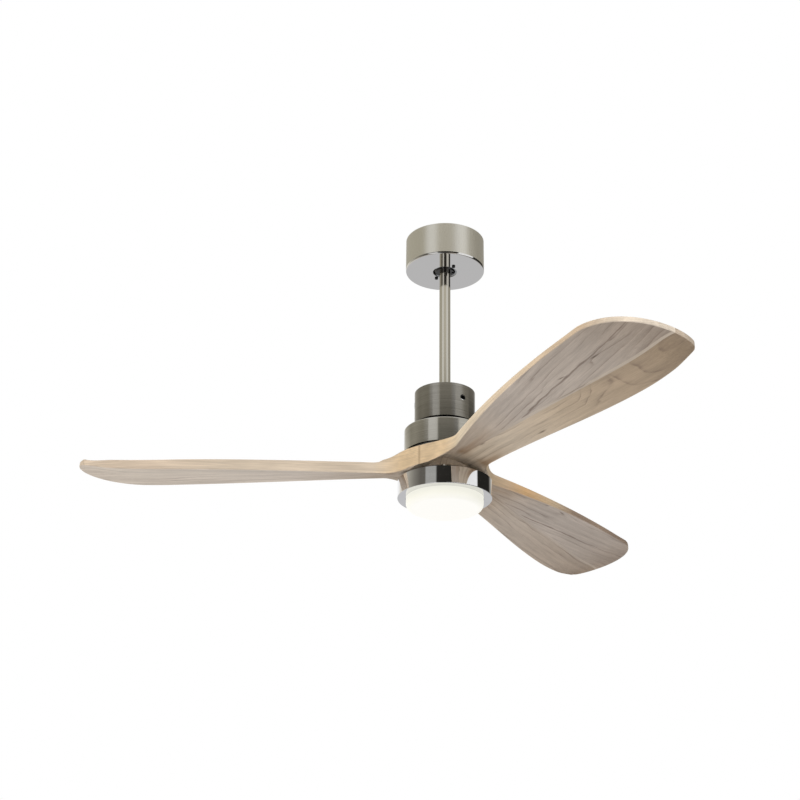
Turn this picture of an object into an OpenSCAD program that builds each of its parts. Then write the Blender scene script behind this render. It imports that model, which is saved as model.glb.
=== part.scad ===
// Ceiling fan with a carved wooden propeller, an external-rotor motor and an LED drum light.
// The origin is the centre of the ceiling face, +Z is up, and everything hangs below it.

/* [Canopy] */
// Outer diameter of the canopy
canopy_d = 150; // [146:1:190]
// Height of the canopy below the ceiling
canopy_h = 65; // [62:1:90]
// Diameter of the hole that the downrod swings in
canopy_hole_d = 46; // [44:0.5:50]
// Thickness of the spun sheet of the canopy, cover and housings
sheet = 1.2; // [0.8:0.1:2]
// Radius of the turned-in edges of the spun shells
edge_r = 2; // [1:0.5:4]

/* [Hanger] */
// Diameter of the moulded hanger ball
ball_d = 54; // [52:0.5:57]
// Height of the ball's centre above the underside of the canopy
ball_rise = 20; // [19:0.5:21]
// Thickness of the steel hanger bracket
bracket_t = 3; // [2:0.5:4]
// Distance between the two ceiling screws
ceiling_pitch = 120; // [116:1:124]
// Diameter of the ceiling screw holes
ceiling_hole_d = 5.5; // [4:0.5:7]

/* [Downrod] */
// Outer diameter of the downrod
rod_d = 21; // [19:0.5:22]
// Wall of the downrod
rod_wall = 2; // [1.5:0.5:3]
// Visible length of the downrod, from canopy to cover
rod_drop = 257; // [100:1:900]

/* [Motor] */
// Diameter of the cover over the coupling
cover_d = 112; // [104:1:130]
// Height of the cover over the coupling
cover_h = 65; // [62:1:90]
// Open gap between the cover and the motor housing
cover_gap = 11; // [8:0.5:14]
// Diameter of the motor housing
motor_d = 149; // [146:1:170]
// Height of the motor housing
motor_h = 45; // [44:0.5:60]
// Diameter of the stator's lamination stack
stator_d = 100.6; // [90:0.2:102]
// Height of the stator's lamination stack
stack_h = 16; // [12:1:18]
// Number of stator teeth and coils
teeth = 18; // [12:3:18]
// Number of magnets in the rotor
magnets = 20; // [12:2:24]

/* [Blades] */
// Sweep diameter of the blades
fan_d = 1320; // [1060:10:1500]
// Diameter of the wooden hub where two blades meet
hub_d = 158; // [150:1:164]
// Height of the wooden hub
hub_h = 35.5; // [32:0.5:40]
// Pitch of the blade where it leaves the hub, in degrees
root_pitch = 14; // [12:0.5:18]
// Pitch of the blade in its outer half, in degrees
tip_pitch = 9.4; // [6:0.2:12]
// Distance from the blade's axis to the leading edge at the root
root_lead = 48; // [40:1:52]
// Distance from the blade's axis to the trailing edge at the root
root_trail = 26; // [20:1:30]
// Distance from the blade's axis to the leading edge at the tip
tip_lead = 127; // [100:0.5:150]
// Distance from the blade's axis to the trailing edge at the tip
tip_trail = 30; // [16:1:34]
// Thickness of the blade's edges at the root
root_t = 20.6; // [16:0.2:22]
// Thickness of the leading edge in the outer half
lead_t = 8.5; // [7:0.5:14]
// Thickness of the trailing edge at the tip
trail_t = 14.5; // [9:0.5:16]
// Depth of the hollow carved along the underside
hollow = 3; // [0:0.5:4]
// Width of the joint line between two blades
blade_joint = 0.3; // [0.2:0.1:1]

/* [Light] */
// Diameter of the polished light housing
light_d = 171; // [166:1:190]
// Height of the polished light housing
light_h = 32; // [31:0.5:45]
// Diameter of the opal diffuser
diffuser_d = 140; // [138:1:142]
// How far the diffuser stands out below its housing
diffuser_drop = 20; // [14:0.5:40]
// Wall of the opal diffuser
diffuser_wall = 2.2; // [1.5:0.1:2.6]
// Radius of the rounded lower edge of the diffuser
diffuser_edge = 11; // [4:0.5:13]
// Number of LED chips in the outer ring of the board
led_count = 24; // [12:2:30]

/* [Hidden] */
$fn = 96;

fit = 0.02;              // radial clearance of a seated or running round fit
slip = 0.3;              // clearance of a screw in its hole and of a shell over a tube
eps = 0.01;              // overrun of a cut through a face

// Directions of the three blades at rest, and of their joints seen from a blade's own axis
blade_angles = [182.3, 302.3, 62.3];
seam_trail = 52.5;
seam_lead = seam_trail - 120;
yoke_angles = [186, 306, 66];                 // directions of the yoke's arms and the cover's screws

// Levels down the axis
hub_gap = 7.5;
light_gap = 11;
canopy_z = -canopy_h;
ball_z = canopy_z + ball_rise;
cover_top_z = canopy_z - rod_drop;
cover_bottom_z = cover_top_z - cover_h;
motor_top_z = cover_bottom_z - cover_gap;
motor_bottom_z = motor_top_z - motor_h;
hub_top_z = motor_bottom_z - hub_gap;
hub_bottom_z = hub_top_z - hub_h;
light_top_z = hub_bottom_z - light_gap;
light_bottom_z = light_top_z - light_h;
diffuser_z = light_bottom_z - diffuser_drop;

// Radii
canopy_r = canopy_d / 2;
ball_r = ball_d / 2;
rod_r = rod_d / 2;
cover_r = cover_d / 2;
motor_r = motor_d / 2;
hub_r = hub_d / 2;
tip_r = fan_d / 2;
light_r = light_d / 2;
diffuser_r = diffuser_d / 2;

// ---------------------------------------------------------------- shared shapes

// Half outline of a spun shell that stands on y = 0, with a rounded lower corner
module shell_profile(r, h, e) {
    square([r - e, h]);
    translate([0, e]) square([r, h - e]);
    intersection() {
        translate([r - e, e]) circle(e);
        translate([0, 0]) square([r, h]);
    }
}

// Cup with its closed end on z = 0
module cup(r, h, wall, e) {
    inner_e = max(e - wall, 0.2);
    rotate_extrude() difference() {
        shell_profile(r, h, e);
        translate([0, wall]) shell_profile(r - wall, h, inner_e);
    }
}

// Cup upside down, hanging from z = 0 by its closed end
module cap(r, h, wall, e) {
    mirror([0, 0, 1]) cup(r, h, wall, e);
}

module ring(r_in, r_out, h) {
    difference() {
        cylinder(r = r_out, h = h);
        translate([0, 0, -eps]) cylinder(r = r_in, h = h + 2 * eps);
    }
}

// Arc of a ring, from angle a0 to a1
module arc_ring(r_in, r_out, h, a0, a1) {
    rotate(a0) rotate_extrude(angle = a1 - a0) translate([r_in, 0]) square([r_out - r_in, h]);
}

// Screw that points up, with its head below z = 0 and a hexagon socket in the head
module screw(shank_r, length, head_r, head_h) {
    difference() {
        union() {
            cylinder(r = shank_r, h = length, $fn = 24);
            translate([0, 0, -head_h]) cylinder(r = head_r, h = head_h, $fn = 24);
        }
        translate([0, 0, -head_h - eps]) cylinder(r = head_r * 0.5, h = head_h * 0.6, $fn = 6);
    }
}

module screw_down(shank_r, length, head_r, head_h) {
    rotate([180, 0, 0]) screw(shank_r, length, head_r, head_h);
}

// Headless screw of full length along +X, with a hexagon socket in its outer end
module grub_screw(r, inner_x, outer_x) {
    translate([inner_x, 0, 0]) rotate([0, 90, 0]) difference() {
        cylinder(r = r, h = outer_x - inner_x, $fn = 24);
        translate([0, 0, outer_x - inner_x - r]) cylinder(r = r * 0.55, h = r + eps, $fn = 6);
    }
}

// Children repeated at listed angles, r out from the axis
module at_angles(angles, r) {
    for (a = angles) rotate(a) translate([r, 0, 0]) children();
}

function ring_angles(count, start = 0) = [for (i = [0 : count - 1]) start + i * 360 / count];

// ---------------------------------------------------------------- ceiling mount

bracket_w = 36;                               // width of the bracket's strap
ear_r = 9;                                    // end radius of the strap, round the ceiling screws
seat_r = ball_r + slip;                       // spherical seat that the ball swings in
seat_wall = 5;
seat_bottom_z = canopy_z + sheet;             // the bracket's foot lies on the canopy's floor
seat_top_z = ball_z - 3;
collar_r = seat_r + seat_wall;
leg_in = collar_r + 1;                        // inner face of the bracket's legs
leg_out = leg_in + bracket_t;
wire_hole_r = 14;
canopy_screw_r = 2;
canopy_screw_l = 6;
canopy_screw_angles = [125, 305];
canopy_screw_at = seat_r + 1.3;
key_w = 5;                                    // tab in the ball's groove, which stops it turning
key_depth = 3;
key_h = 5;
key_lift = 3;                                 // room under the tab for the rod at full swing
rod_slot_w = rod_d + 3;                       // side opening that the rod enters by

module bracket_strap() {
    translate([-bracket_w / 2, -leg_out, -bracket_t]) cube([bracket_w, 2 * leg_out, bracket_t]);
    for (s = [-1, 1]) {
        translate([0, s * ceiling_pitch / 2, -bracket_t]) cylinder(r = ear_r, h = bracket_t);
        translate([-ear_r, s > 0 ? leg_in : -ceiling_pitch / 2, -bracket_t])
            cube([2 * ear_r, ceiling_pitch / 2 - leg_in, bracket_t]);
    }
}

module hanger_bracket() {
    color("lightgray") difference() {
        union() {
            bracket_strap();
            for (s = [-1, 1])
                translate([-bracket_w / 2, s > 0 ? leg_in : -leg_out, seat_bottom_z])
                    cube([bracket_w, bracket_t, -seat_bottom_z]);
            translate([-bracket_w / 2, -leg_out, seat_bottom_z])
                cube([bracket_w, 2 * leg_out, bracket_t]);
            translate([0, 0, seat_bottom_z])
                cylinder(r = collar_r, h = seat_top_z - seat_bottom_z);
        }
        translate([0, 0, ball_z]) sphere(seat_r);
        translate([0, 0, -bracket_t - eps]) cylinder(r = wire_hole_r, h = bracket_t + 2 * eps);
        translate([-collar_r - 4, -rod_slot_w / 2, seat_bottom_z - eps])
            cube([collar_r + 4, rod_slot_w, seat_top_z - seat_bottom_z + 2 * eps]);
        for (s = [-1, 1]) translate([0, s * ceiling_pitch / 2, -bracket_t - eps])
            cylinder(d = ceiling_hole_d, h = bracket_t + 2 * eps);
        at_angles(canopy_screw_angles, canopy_screw_at) translate([0, 0, seat_bottom_z - eps])
            cylinder(r = canopy_screw_r + fit, h = canopy_screw_l);
        module_holes(leg_in - eps, bracket_t + 2 * eps);
    }
    color("lightgray") ball_key();
}

// Tab on the collar's +X side, with an inner face that is round about the swing axis
module ball_key() {
    difference() {
        intersection() {
            translate([0, -key_w / 2, seat_bottom_z + key_lift]) cube([collar_r, key_w, key_h]);
            translate([0, 0, seat_bottom_z + key_lift]) cylinder(r = collar_r - 1, h = key_h);
        }
        translate([0, 0, ball_z]) rotate([90, 0, 0])
            cylinder(r = ball_r - key_depth + slip, h = key_w + 2, center = true);
    }
}

module canopy() {
    color("silver") difference() {
        translate([0, 0, canopy_z]) cup(canopy_r, canopy_h, sheet, edge_r);
        translate([0, 0, canopy_z - eps]) cylinder(d = canopy_hole_d, h = sheet + 2 * eps);
        at_angles(canopy_screw_angles, canopy_screw_at) translate([0, 0, canopy_z - eps])
            cylinder(r = canopy_screw_r + fit, h = sheet + 2 * eps);
    }
}

module canopy_screws() {
    color("dimgray") at_angles(canopy_screw_angles, canopy_screw_at)
        translate([0, 0, canopy_z]) screw(canopy_screw_r, canopy_screw_l, 3.2, 2);
}

// ---------------------------------------------------------------- wiring on the bracket's legs

module_z = -38;                               // height of the modules' lower fixing screws
module_screw_r = 1.5;
module_screw_x = 12;
block_w = 34;
block_d = 13;
block_h = 18;
receiver_w = 56;
receiver_d = 15;
receiver_h = 36;

// Four holes along Y, two in each leg
module module_holes(y0, depth) {
    for (s = [-1, 1], x = [-module_screw_x, module_screw_x])
        translate([x, s * y0, module_z]) rotate([-90 * s, 0, 0])
            cylinder(r = module_screw_r + fit, h = depth, $fn = 24);
}

module terminal_block() {
    color("ivory") difference() {
        translate([-block_w / 2, -leg_out - block_d, module_z - block_h / 2])
            cube([block_w, block_d, block_h]);
        // Screw and wire holes of the five poles
        for (i = [-2 : 2]) translate([i * 5.6, 0, 0]) {
            translate([0, -leg_out - block_d - eps, module_z + 4]) rotate([-90, 0, 0])
                cylinder(r = 1.5, h = 6, $fn = 24);
            translate([0, -leg_out - block_d + 6, module_z - block_h / 2 - eps])
                cylinder(r = 1.2, h = 6, $fn = 24);
        }
        module_holes(leg_out - eps, 6);
    }
}

module receiver() {
    color("whitesmoke") difference() {
        union() {
            translate([-receiver_w / 2, leg_out, module_z - receiver_h / 2])
                cube([receiver_w, receiver_d, receiver_h]);
            // Cable glands on the upper face
            for (x = [-18, 18])
                translate([x, leg_out + receiver_d / 2, module_z + receiver_h / 2])
                    cylinder(r = 3.5, h = 5);
        }
        for (x = [-18, 18])
            translate([x, leg_out + receiver_d / 2, module_z + receiver_h / 2 - 2])
                cylinder(r = 2.2, h = 8);
        module_holes(leg_out - eps, 6);
    }
}

module module_screws() {
    color("dimgray") for (s = [-1, 1], x = [-module_screw_x, module_screw_x])
        translate([x, s * leg_in, module_z]) rotate([-90 * s, 0, 0])
            screw(module_screw_r, bracket_t + 5, 2.8, 0.9);
}

// ---------------------------------------------------------------- ball and downrod

ball_low = ball_rise + 1;                     // cut that leaves the ball's flat underside
ball_high = 14;                               // cut that leaves the ball's flat top
pin_r = 3;
ball_pin_z = ball_z + 7;
rod_top_z = ball_z + 20;
yoke_top_z = cover_top_z - 8;
yoke_h = 54;
yoke_bottom_z = yoke_top_z - yoke_h;
rod_socket = 32;                              // depth of the rod in the yoke
shaft_socket = 19;                            // depth of the shaft in the yoke
rod_bottom_z = yoke_top_z - rod_socket;
yoke_pin_z = yoke_top_z - 6;

// Space round the ball's pin, open to the top so that the ball drops over it
module pin_slot() {
    half = sqrt(pow(ball_r, 2) - pow(ball_high, 2)) + 1.5;
    translate([0, 0, ball_pin_z]) rotate([90, 0, 0])
        cylinder(r = pin_r + fit, h = 2 * half, center = true);
    translate([-pin_r - fit, -half, ball_pin_z])
        cube([2 * (pin_r + fit), 2 * half, ball_high]);
}

module hanger_ball() {
    color([0.06, 0.06, 0.06]) difference() {
        intersection() {
            translate([0, 0, ball_z]) sphere(ball_r);
            translate([0, 0, ball_z - ball_low]) cylinder(r = ball_r + 1, h = ball_low + ball_high);
        }
        translate([0, 0, ball_z - ball_r]) cylinder(r = rod_r + fit, h = 2 * ball_r);
        pin_slot();
        // Groove for the bracket's tab
        translate([0, 0, ball_z]) rotate([90, 0, 0]) difference() {
            cylinder(r = ball_r + 1, h = key_w + 2 * slip, center = true);
            cylinder(r = ball_r - key_depth, h = key_w + 2 * slip + 1, center = true);
            translate([-2 * ball_r, -ball_r - 2, -key_w]) cube([2 * ball_r, 2 * ball_r + 4, 2 * key_w]);
        }
    }
}

module ball_pin() {
    length = 2 * (sqrt(pow(ball_r, 2) - pow(ball_high, 2)) - 1.5);
    color("silver") translate([0, 0, ball_pin_z]) rotate([90, 0, 0])
        cylinder(r = pin_r, h = length, center = true);
}

module cross_hole(z, r, reach) {
    translate([0, 0, z]) rotate([90, 0, 0]) cylinder(r = r, h = 2 * reach, center = true);
}

module downrod() {
    color("silver") difference() {
        translate([0, 0, rod_bottom_z]) ring(rod_r - rod_wall, rod_r, rod_top_z - rod_bottom_z);
        cross_hole(ball_pin_z, pin_r + fit, rod_r + 1);
        cross_hole(yoke_pin_z, pin_r + fit, rod_r + 1);
    }
}

lead_r = 0.95;
lead_places = [for (x = [-4.5, 4.5], y = [-1.25, 1.25]) [x, y]];
grommet_t = 2;

module rod_grommet() {
    color([0.1, 0.1, 0.1]) translate([0, 0, rod_top_z]) difference() {
        union() {
            cylinder(r = rod_r, h = grommet_t);
            translate([0, 0, -3]) cylinder(r = rod_r - rod_wall - fit, h = 3 + eps);
        }
        for (p = lead_places) translate([p[0], p[1], -4]) cylinder(r = lead_r + fit, h = 8, $fn = 24);
    }
}

module power_leads() {
    top_z = rod_top_z + grommet_t + 2;
    color("firebrick") for (p = lead_places) translate([p[0], p[1], connector_top_z])
        cylinder(r = lead_r, h = top_z - connector_top_z, $fn = 24);
}

// ---------------------------------------------------------------- coupling yoke and its cover

yoke_r = 18;
arm_r = 8;
arm_drop = 18;                                // depth of the arms below the yoke's top
arm_z = yoke_top_z - arm_drop;
arm_reach = cover_r - sheet - 0.6;
cover_screw_r = 5.4;
cover_screw_l = 13;
set_screw_r = 2.5;
set_screw_z = [rod_bottom_z + 3, yoke_bottom_z + 9];
shaft_r = 10;
shaft_bore_r = 6.5;
shaft_top_z = yoke_bottom_z + shaft_socket;

module coupling_yoke() {
    color("gray") difference() {
        union() {
            translate([0, 0, yoke_bottom_z]) cylinder(r = yoke_r, h = yoke_h);
            for (a = yoke_angles) rotate(a) translate([0, 0, arm_z]) rotate([0, 90, 0])
                cylinder(r = arm_r, h = arm_reach);
        }
        translate([0, 0, rod_bottom_z]) cylinder(r = rod_r + fit, h = rod_socket + eps);
        translate([0, 0, yoke_bottom_z - eps]) cylinder(r = shaft_bore_r, h = yoke_h);
        translate([0, 0, yoke_bottom_z - eps]) cylinder(r = shaft_r + fit, h = shaft_socket + eps);
        cross_hole(yoke_pin_z, pin_r + fit, yoke_r + 1);
        for (a = yoke_angles) rotate(a) translate([arm_reach - cover_screw_l, 0, arm_z])
            rotate([0, 90, 0]) cylinder(r = cover_screw_r + fit, h = cover_screw_l + 1);
        for (z = set_screw_z, a = [0, 180]) rotate(a) translate([shaft_r - 3, 0, z])
            rotate([0, 90, 0]) cylinder(r = set_screw_r + fit, h = yoke_r);
    }
}

clip_groove_r = 2.3;
clip_t = 1;

// Clevis pin with a head at -Y and a clip groove at +Y
module yoke_pin() {
    color("silver") translate([0, 0, yoke_pin_z]) rotate([-90, 0, 0]) difference() {
        union() {
            translate([0, 0, -yoke_r]) cylinder(r = pin_r, h = 2 * yoke_r + 3);
            translate([0, 0, -yoke_r - 2.5]) cylinder(r = pin_r + 2, h = 2.5);
        }
        translate([0, 0, yoke_r]) ring(clip_groove_r, pin_r + 1, clip_t + fit);
    }
}

module yoke_clip() {
    color("gray") translate([0, 0, yoke_pin_z]) rotate([-90, 0, 0]) translate([0, 0, yoke_r])
        difference() {
            ring(clip_groove_r + fit, pin_r + 2.5, clip_t);
            translate([0, -clip_groove_r * 0.8, -1]) cube([pin_r + 4, clip_groove_r * 1.6, 3]);
        }
}

module yoke_set_screws() {
    color("dimgray") for (a = [0, 180]) rotate(a) {
        translate([0, 0, set_screw_z[0]]) grub_screw(set_screw_r, rod_r + fit, yoke_r - 0.5);
        translate([0, 0, set_screw_z[1]]) grub_screw(set_screw_r, shaft_r + fit, yoke_r - 0.5);
    }
}

module coupling_cover() {
    color("gray") difference() {
        translate([0, 0, cover_top_z]) cap(cover_r, cover_h, sheet, edge_r / 2);
        translate([0, 0, cover_top_z - 2 * sheet]) cylinder(r = rod_r + slip, h = 3 * sheet);
        for (a = yoke_angles) rotate(a) translate([cover_r - 4, 0, arm_z]) rotate([0, 90, 0])
            cylinder(r = cover_screw_r + slip, h = 8);
    }
}

// Set screws backed out of the yoke's arms into the holes in the cover
module cover_screws() {
    color([0.08, 0.08, 0.08]) for (a = yoke_angles) rotate(a) translate([0, 0, arm_z])
        grub_screw(cover_screw_r, arm_reach - cover_screw_l + 1, cover_r - 0.4);
}

// ---------------------------------------------------------------- motor, fixed parts

shaft_flange_r = 24;
shaft_flange_t = 5;
shaft_nut_r = 15;
shaft_nut_t = 5;
plate_t = 2;
plate_top_z = light_top_z + plate_t;
shaft_end_z = light_top_z - shaft_nut_t - 2;
housing_screw_angles = ring_angles(4, 45);
housing_screw_at = 18;
housing_screw_r = 1.6;
motor_z = (motor_top_z - sheet - shaft_flange_t + hub_top_z) / 2;   // middle of the motor's space
bearing_w = 7;
bearing_in = shaft_r + 2;                     // outer radius of the inner ring
bearing_mid = shaft_r + 3;                    // radius that the balls run on
bearing_out = shaft_r + 4;                    // inner radius of the outer ring
bearing_r = shaft_r + 6;
bearing_ball_r = 1.6;
bearing_balls_n = 12;
bell_t = 3;
flange_t = 4.5;
flange_top_z = hub_top_z + flange_t;
bell_top_z = motor_top_z - sheet - shaft_flange_t - 3;
bearing_top_z = bell_top_z - bearing_w / 2;               // middle of the upper bearing
bearing_low_z = flange_top_z + 1 + bearing_w / 2;         // middle of the lower bearing
bearing_levels = [bearing_top_z, bearing_low_z];
stator_r = stator_d / 2;
stator_z = (bearing_top_z + bearing_low_z) / 2;
air_gap = 0.7;
magnet_in = stator_r + air_gap;
magnet_out = magnet_in + 3;
bell_r = magnet_out + 6;
flange_r = motor_r - 4.5;

module motor_shaft() {
    color("silver") difference() {
        union() {
            translate([0, 0, shaft_end_z]) cylinder(r = shaft_r, h = shaft_top_z - shaft_end_z);
            translate([0, 0, motor_top_z - sheet - shaft_flange_t])
                cylinder(r = shaft_flange_r, h = shaft_flange_t);
        }
        translate([0, 0, shaft_end_z - eps])
            cylinder(r = shaft_bore_r, h = shaft_top_z - shaft_end_z + 2 * eps);
        at_angles(housing_screw_angles, housing_screw_at)
            translate([0, 0, motor_top_z - sheet - shaft_flange_t - eps])
            cylinder(r = housing_screw_r + fit, h = shaft_flange_t + 2 * eps, $fn = 24);
    }
}

module motor_housing() {
    color([0.35, 0.34, 0.32]) difference() {
        translate([0, 0, motor_top_z]) cap(motor_r, motor_h, sheet, edge_r);
        translate([0, 0, motor_top_z - 2 * sheet]) cylinder(r = shaft_r + slip, h = 3 * sheet);
        at_angles(housing_screw_angles, housing_screw_at) translate([0, 0, motor_top_z - 2 * sheet])
            cylinder(r = housing_screw_r + fit, h = 3 * sheet, $fn = 24);
    }
}

module housing_screws() {
    color("dimgray") at_angles(housing_screw_angles, housing_screw_at)
        translate([0, 0, motor_top_z]) screw_down(housing_screw_r, sheet + shaft_flange_t, 3, 2);
}

tooth_w = 4.4;
tooth_in = 21;
shoe_h = 3;

// Laminated core: a hub, straight teeth and a curved shoe on each tooth
module stator_core() {
    shoe_span = 360 / teeth - 3;
    color("slategray") translate([0, 0, stator_z - stack_h / 2]) difference() {
        union() {
            cylinder(r = tooth_in + 1, h = stack_h);
            for (a = ring_angles(teeth)) rotate(a) {
                translate([tooth_in, -tooth_w / 2, 0])
                    cube([stator_r - tooth_in - 1, tooth_w, stack_h]);
                arc_ring(stator_r - shoe_h, stator_r, stack_h, -shoe_span / 2, shoe_span / 2);
            }
        }
        translate([0, 0, -eps]) cylinder(r = shaft_r + fit, h = stack_h + 2 * eps);
    }
}

coil_t = 2.2;

// One wound coil, a rounded frame round its tooth
module coil() {
    coil_in = tooth_in + 7;
    coil_len = stator_r - shoe_h - 0.6 - coil_in;
    half_w = tooth_w / 2 + coil_t;
    half_h = stack_h / 2 + coil_t;
    translate([coil_in, 0, stator_z]) rotate([90, 0, 90]) linear_extrude(coil_len) difference() {
        union() {
            square([2 * half_w, 2 * (half_h - coil_t)], center = true);
            square([2 * (half_w - coil_t), 2 * half_h], center = true);
            for (x = [-1, 1], y = [-1, 1])
                translate([x * (half_w - coil_t), y * (half_h - coil_t)]) circle(coil_t, $fn = 24);
        }
        square([tooth_w + 2 * fit, stack_h + 2 * fit], center = true);
    }
}

module stator_windings() {
    color("peru") for (a = ring_angles(teeth)) rotate(a) coil();
}

// ---------------------------------------------------------------- bearings

module race(r_in, r_out) {
    difference() {
        translate([r_in, -bearing_w / 2]) square([r_out - r_in, bearing_w]);
        translate([bearing_mid, 0]) circle(bearing_ball_r + 0.06);
    }
}

module bearing_inner_rings() {
    color("silver") for (z = bearing_levels) translate([0, 0, z])
        rotate_extrude() race(shaft_r + fit, bearing_in);
}

module bearing_outer_rings() {
    color("silver") for (z = bearing_levels) translate([0, 0, z])
        rotate_extrude() race(bearing_out, bearing_r);
}

module bearing_balls() {
    color("white") for (z = bearing_levels) translate([0, 0, z])
        at_angles(ring_angles(bearing_balls_n), bearing_mid) sphere(bearing_ball_r, $fn = 24);
}

module bearing_cages() {
    color("goldenrod") for (z = bearing_levels) translate([0, 0, z]) difference() {
        translate([0, 0, -2.6]) ring(bearing_mid - 0.6, bearing_mid + 0.6, 5.2);
        at_angles(ring_angles(bearing_balls_n), bearing_mid - 2) rotate([0, 90, 0])
            cylinder(r = bearing_ball_r + fit, h = 4, $fn = 24);
    }
}

// ---------------------------------------------------------------- rotor

bell_screw_r = 1.5;
bell_screw_at = (bell_r + flange_r) / 2 + 1;
bell_screw_angles = ring_angles(15, blade_angles[0] + seam_trail);
rim_t = 2.5;
bolt_r = 2.5;
bolt_at = 42;
bolt_angles = ring_angles(9, blade_angles[0] + (seam_lead + seam_trail) / 2);
vent_angles = ring_angles(6);

// Bell over the stator, with an out-turned rim that lies on the rotor flange
module rotor_bell() {
    bell_h = bell_top_z - flange_top_z;
    color("gray") translate([0, 0, bell_top_z]) mirror([0, 0, 1]) difference() {
        union() {
            ring(bearing_r, bell_r, bell_t);
            ring(bearing_r, bearing_r + 5, bearing_w);
            translate([0, 0, bearing_w]) ring(bearing_out + 0.5, bearing_r + 5, 1);
            ring(magnet_out, bell_r, bell_h);
            translate([0, 0, bell_h - rim_t]) ring(magnet_out, flange_r, rim_t);
        }
        for (a = vent_angles) rotate(a) translate([36, 0, -eps]) cylinder(r = 6, h = bell_t + 1);
        at_angles(bell_screw_angles, bell_screw_at) translate([0, 0, bell_h - rim_t - 1])
            cylinder(r = bell_screw_r + fit, h = rim_t + 2, $fn = 24);
    }
}

module rotor_magnets() {
    span = 360 / magnets;
    color("dimgray") for (a = ring_angles(magnets)) rotate(a)
        translate([0, 0, stator_z - stack_h / 2 - 1])
        arc_ring(magnet_in, magnet_out - fit, stack_h + 2, -span / 2 + 1, span / 2 - 1);
}

module rotor_flange() {
    boss_h = bearing_low_z + bearing_w / 2 - hub_top_z;
    color("silver") translate([0, 0, hub_top_z]) difference() {
        union() {
            cylinder(r = flange_r, h = flange_t);
            cylinder(r = bearing_r + 5, h = boss_h);
        }
        translate([0, 0, -eps]) cylinder(r = shaft_r + 3, h = boss_h + 1);
        translate([0, 0, boss_h - bearing_w]) cylinder(r = bearing_r, h = bearing_w + 1);
        at_angles(bell_screw_angles, bell_screw_at) translate([0, 0, -eps])
            cylinder(r = bell_screw_r + fit, h = flange_t + 2 * eps, $fn = 24);
        at_angles(bolt_angles, bolt_at) translate([0, 0, -eps])
            cylinder(r = bolt_r + fit, h = flange_t + 2 * eps, $fn = 24);
    }
}

module bell_screws() {
    color("white") at_angles(bell_screw_angles, bell_screw_at)
        translate([0, 0, flange_top_z + rim_t]) screw_down(bell_screw_r, rim_t + flange_t, 2.8, 2);
}

module hub_plate() {
    color("gray") translate([0, 0, hub_bottom_z - hub_plate_t]) difference() {
        ring(hub_bore_r + 1, bolt_at + 8, hub_plate_t);
        at_angles(bolt_angles, bolt_at) translate([0, 0, -eps])
            cylinder(r = bolt_r + fit, h = hub_plate_t + 2 * eps, $fn = 24);
    }
}

// Bolts up through the plate and the wooden hub into the rotor flange
module blade_bolts() {
    color("dimgray") at_angles(bolt_angles, bolt_at) translate([0, 0, hub_bottom_z - hub_plate_t])
        screw(bolt_r, hub_plate_t + hub_h + flange_t, 4.5, 3);
}

// ---------------------------------------------------------------- carved blades

// Each blade is a third of the hub and one wing, lofted as a row of ribs that join its leading
// edge to its trailing edge. In the blade's own frame X runs out along the wing, the trailing
// edge is at +Y and z = 0 is the level that the wing's pitch turns about.
blade_z = hub_bottom_z + 11.3;                // level that the wing's pitch turns about
hub_low = hub_bottom_z - blade_z;
hub_high = hub_top_z - blade_z;
hub_bore_r = 17;
hub_plate_t = 2.5;
boss_r = 62;                                  // round boss under the hub
waist_s = 112;                                // distance out to the wing's narrowest chord
lead_end_s = tip_r - 92;                      // end of the straight leading edge
trail_end_s = tip_r - 10;                     // corner of the trailing edge and the tip
root_rise = 0.4;
tip_droop = 8.6;                              // fall of the wing's middle out to the tip
tip_lift = 8;                                 // how far its last part turns up again
arris = 1.5;                                  // rounding of the wing's edges
seam_arris = 0.5;                             // rounding of the joint's edges
main_ribs = 20;
neck_ribs = 10;
tip_ribs = 8;
flow = 27;                                    // length of the curve's run out of the hub

function mix(a, b, t) = a + (b - a) * t;
function smooth(t) = let (k = min(max(t, 0), 1)) k * k * (3 - 2 * k);
function bezier(p, t) = pow(1 - t, 3) * p[0] + 3 * t * pow(1 - t, 2) * p[1]
    + 3 * t * t * (1 - t) * p[2] + t * t * t * p[3];
function polar(r, a) = [r * cos(a), r * sin(a)];
function joint_turn(r) = asin(blade_joint / 2 / r);

// Outline of the wing, as four curves from the hub to the tip
lead_run = lead_end_s - waist_s;
trail_run = trail_end_s - waist_s;
lead_root = polar(hub_r, seam_lead + joint_turn(hub_r));
trail_root = polar(hub_r, seam_trail - joint_turn(hub_r));
lead_neck = [lead_root, lead_root + polar(flow, seam_lead + 90),
    [waist_s - flow, -root_lead + 5], [waist_s, -root_lead]];
trail_neck = [trail_root, trail_root + polar(flow, seam_trail - 90),
    [waist_s - flow, root_trail + 1], [waist_s, root_trail]];
lead_edge = [[waist_s, -root_lead], [waist_s + lead_run / 3, -root_lead - 41],
    [waist_s + lead_run * 2 / 3, -tip_lead + 9.6], [lead_end_s, -tip_lead]];
trail_edge = [[waist_s, root_trail], [waist_s + trail_run / 3, root_trail + 3.5],
    [waist_s + trail_run * 2 / 3, tip_trail + 34], [trail_end_s, tip_trail]];
tip_edge = [[lead_end_s, -tip_lead], [lead_end_s + 100, -tip_lead + 8],
    [trail_end_s + 27, tip_trail - 26], [trail_end_s, tip_trail]];
tip_start = 0.82;                             // share of the trailing edge before the tip's ribs

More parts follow.
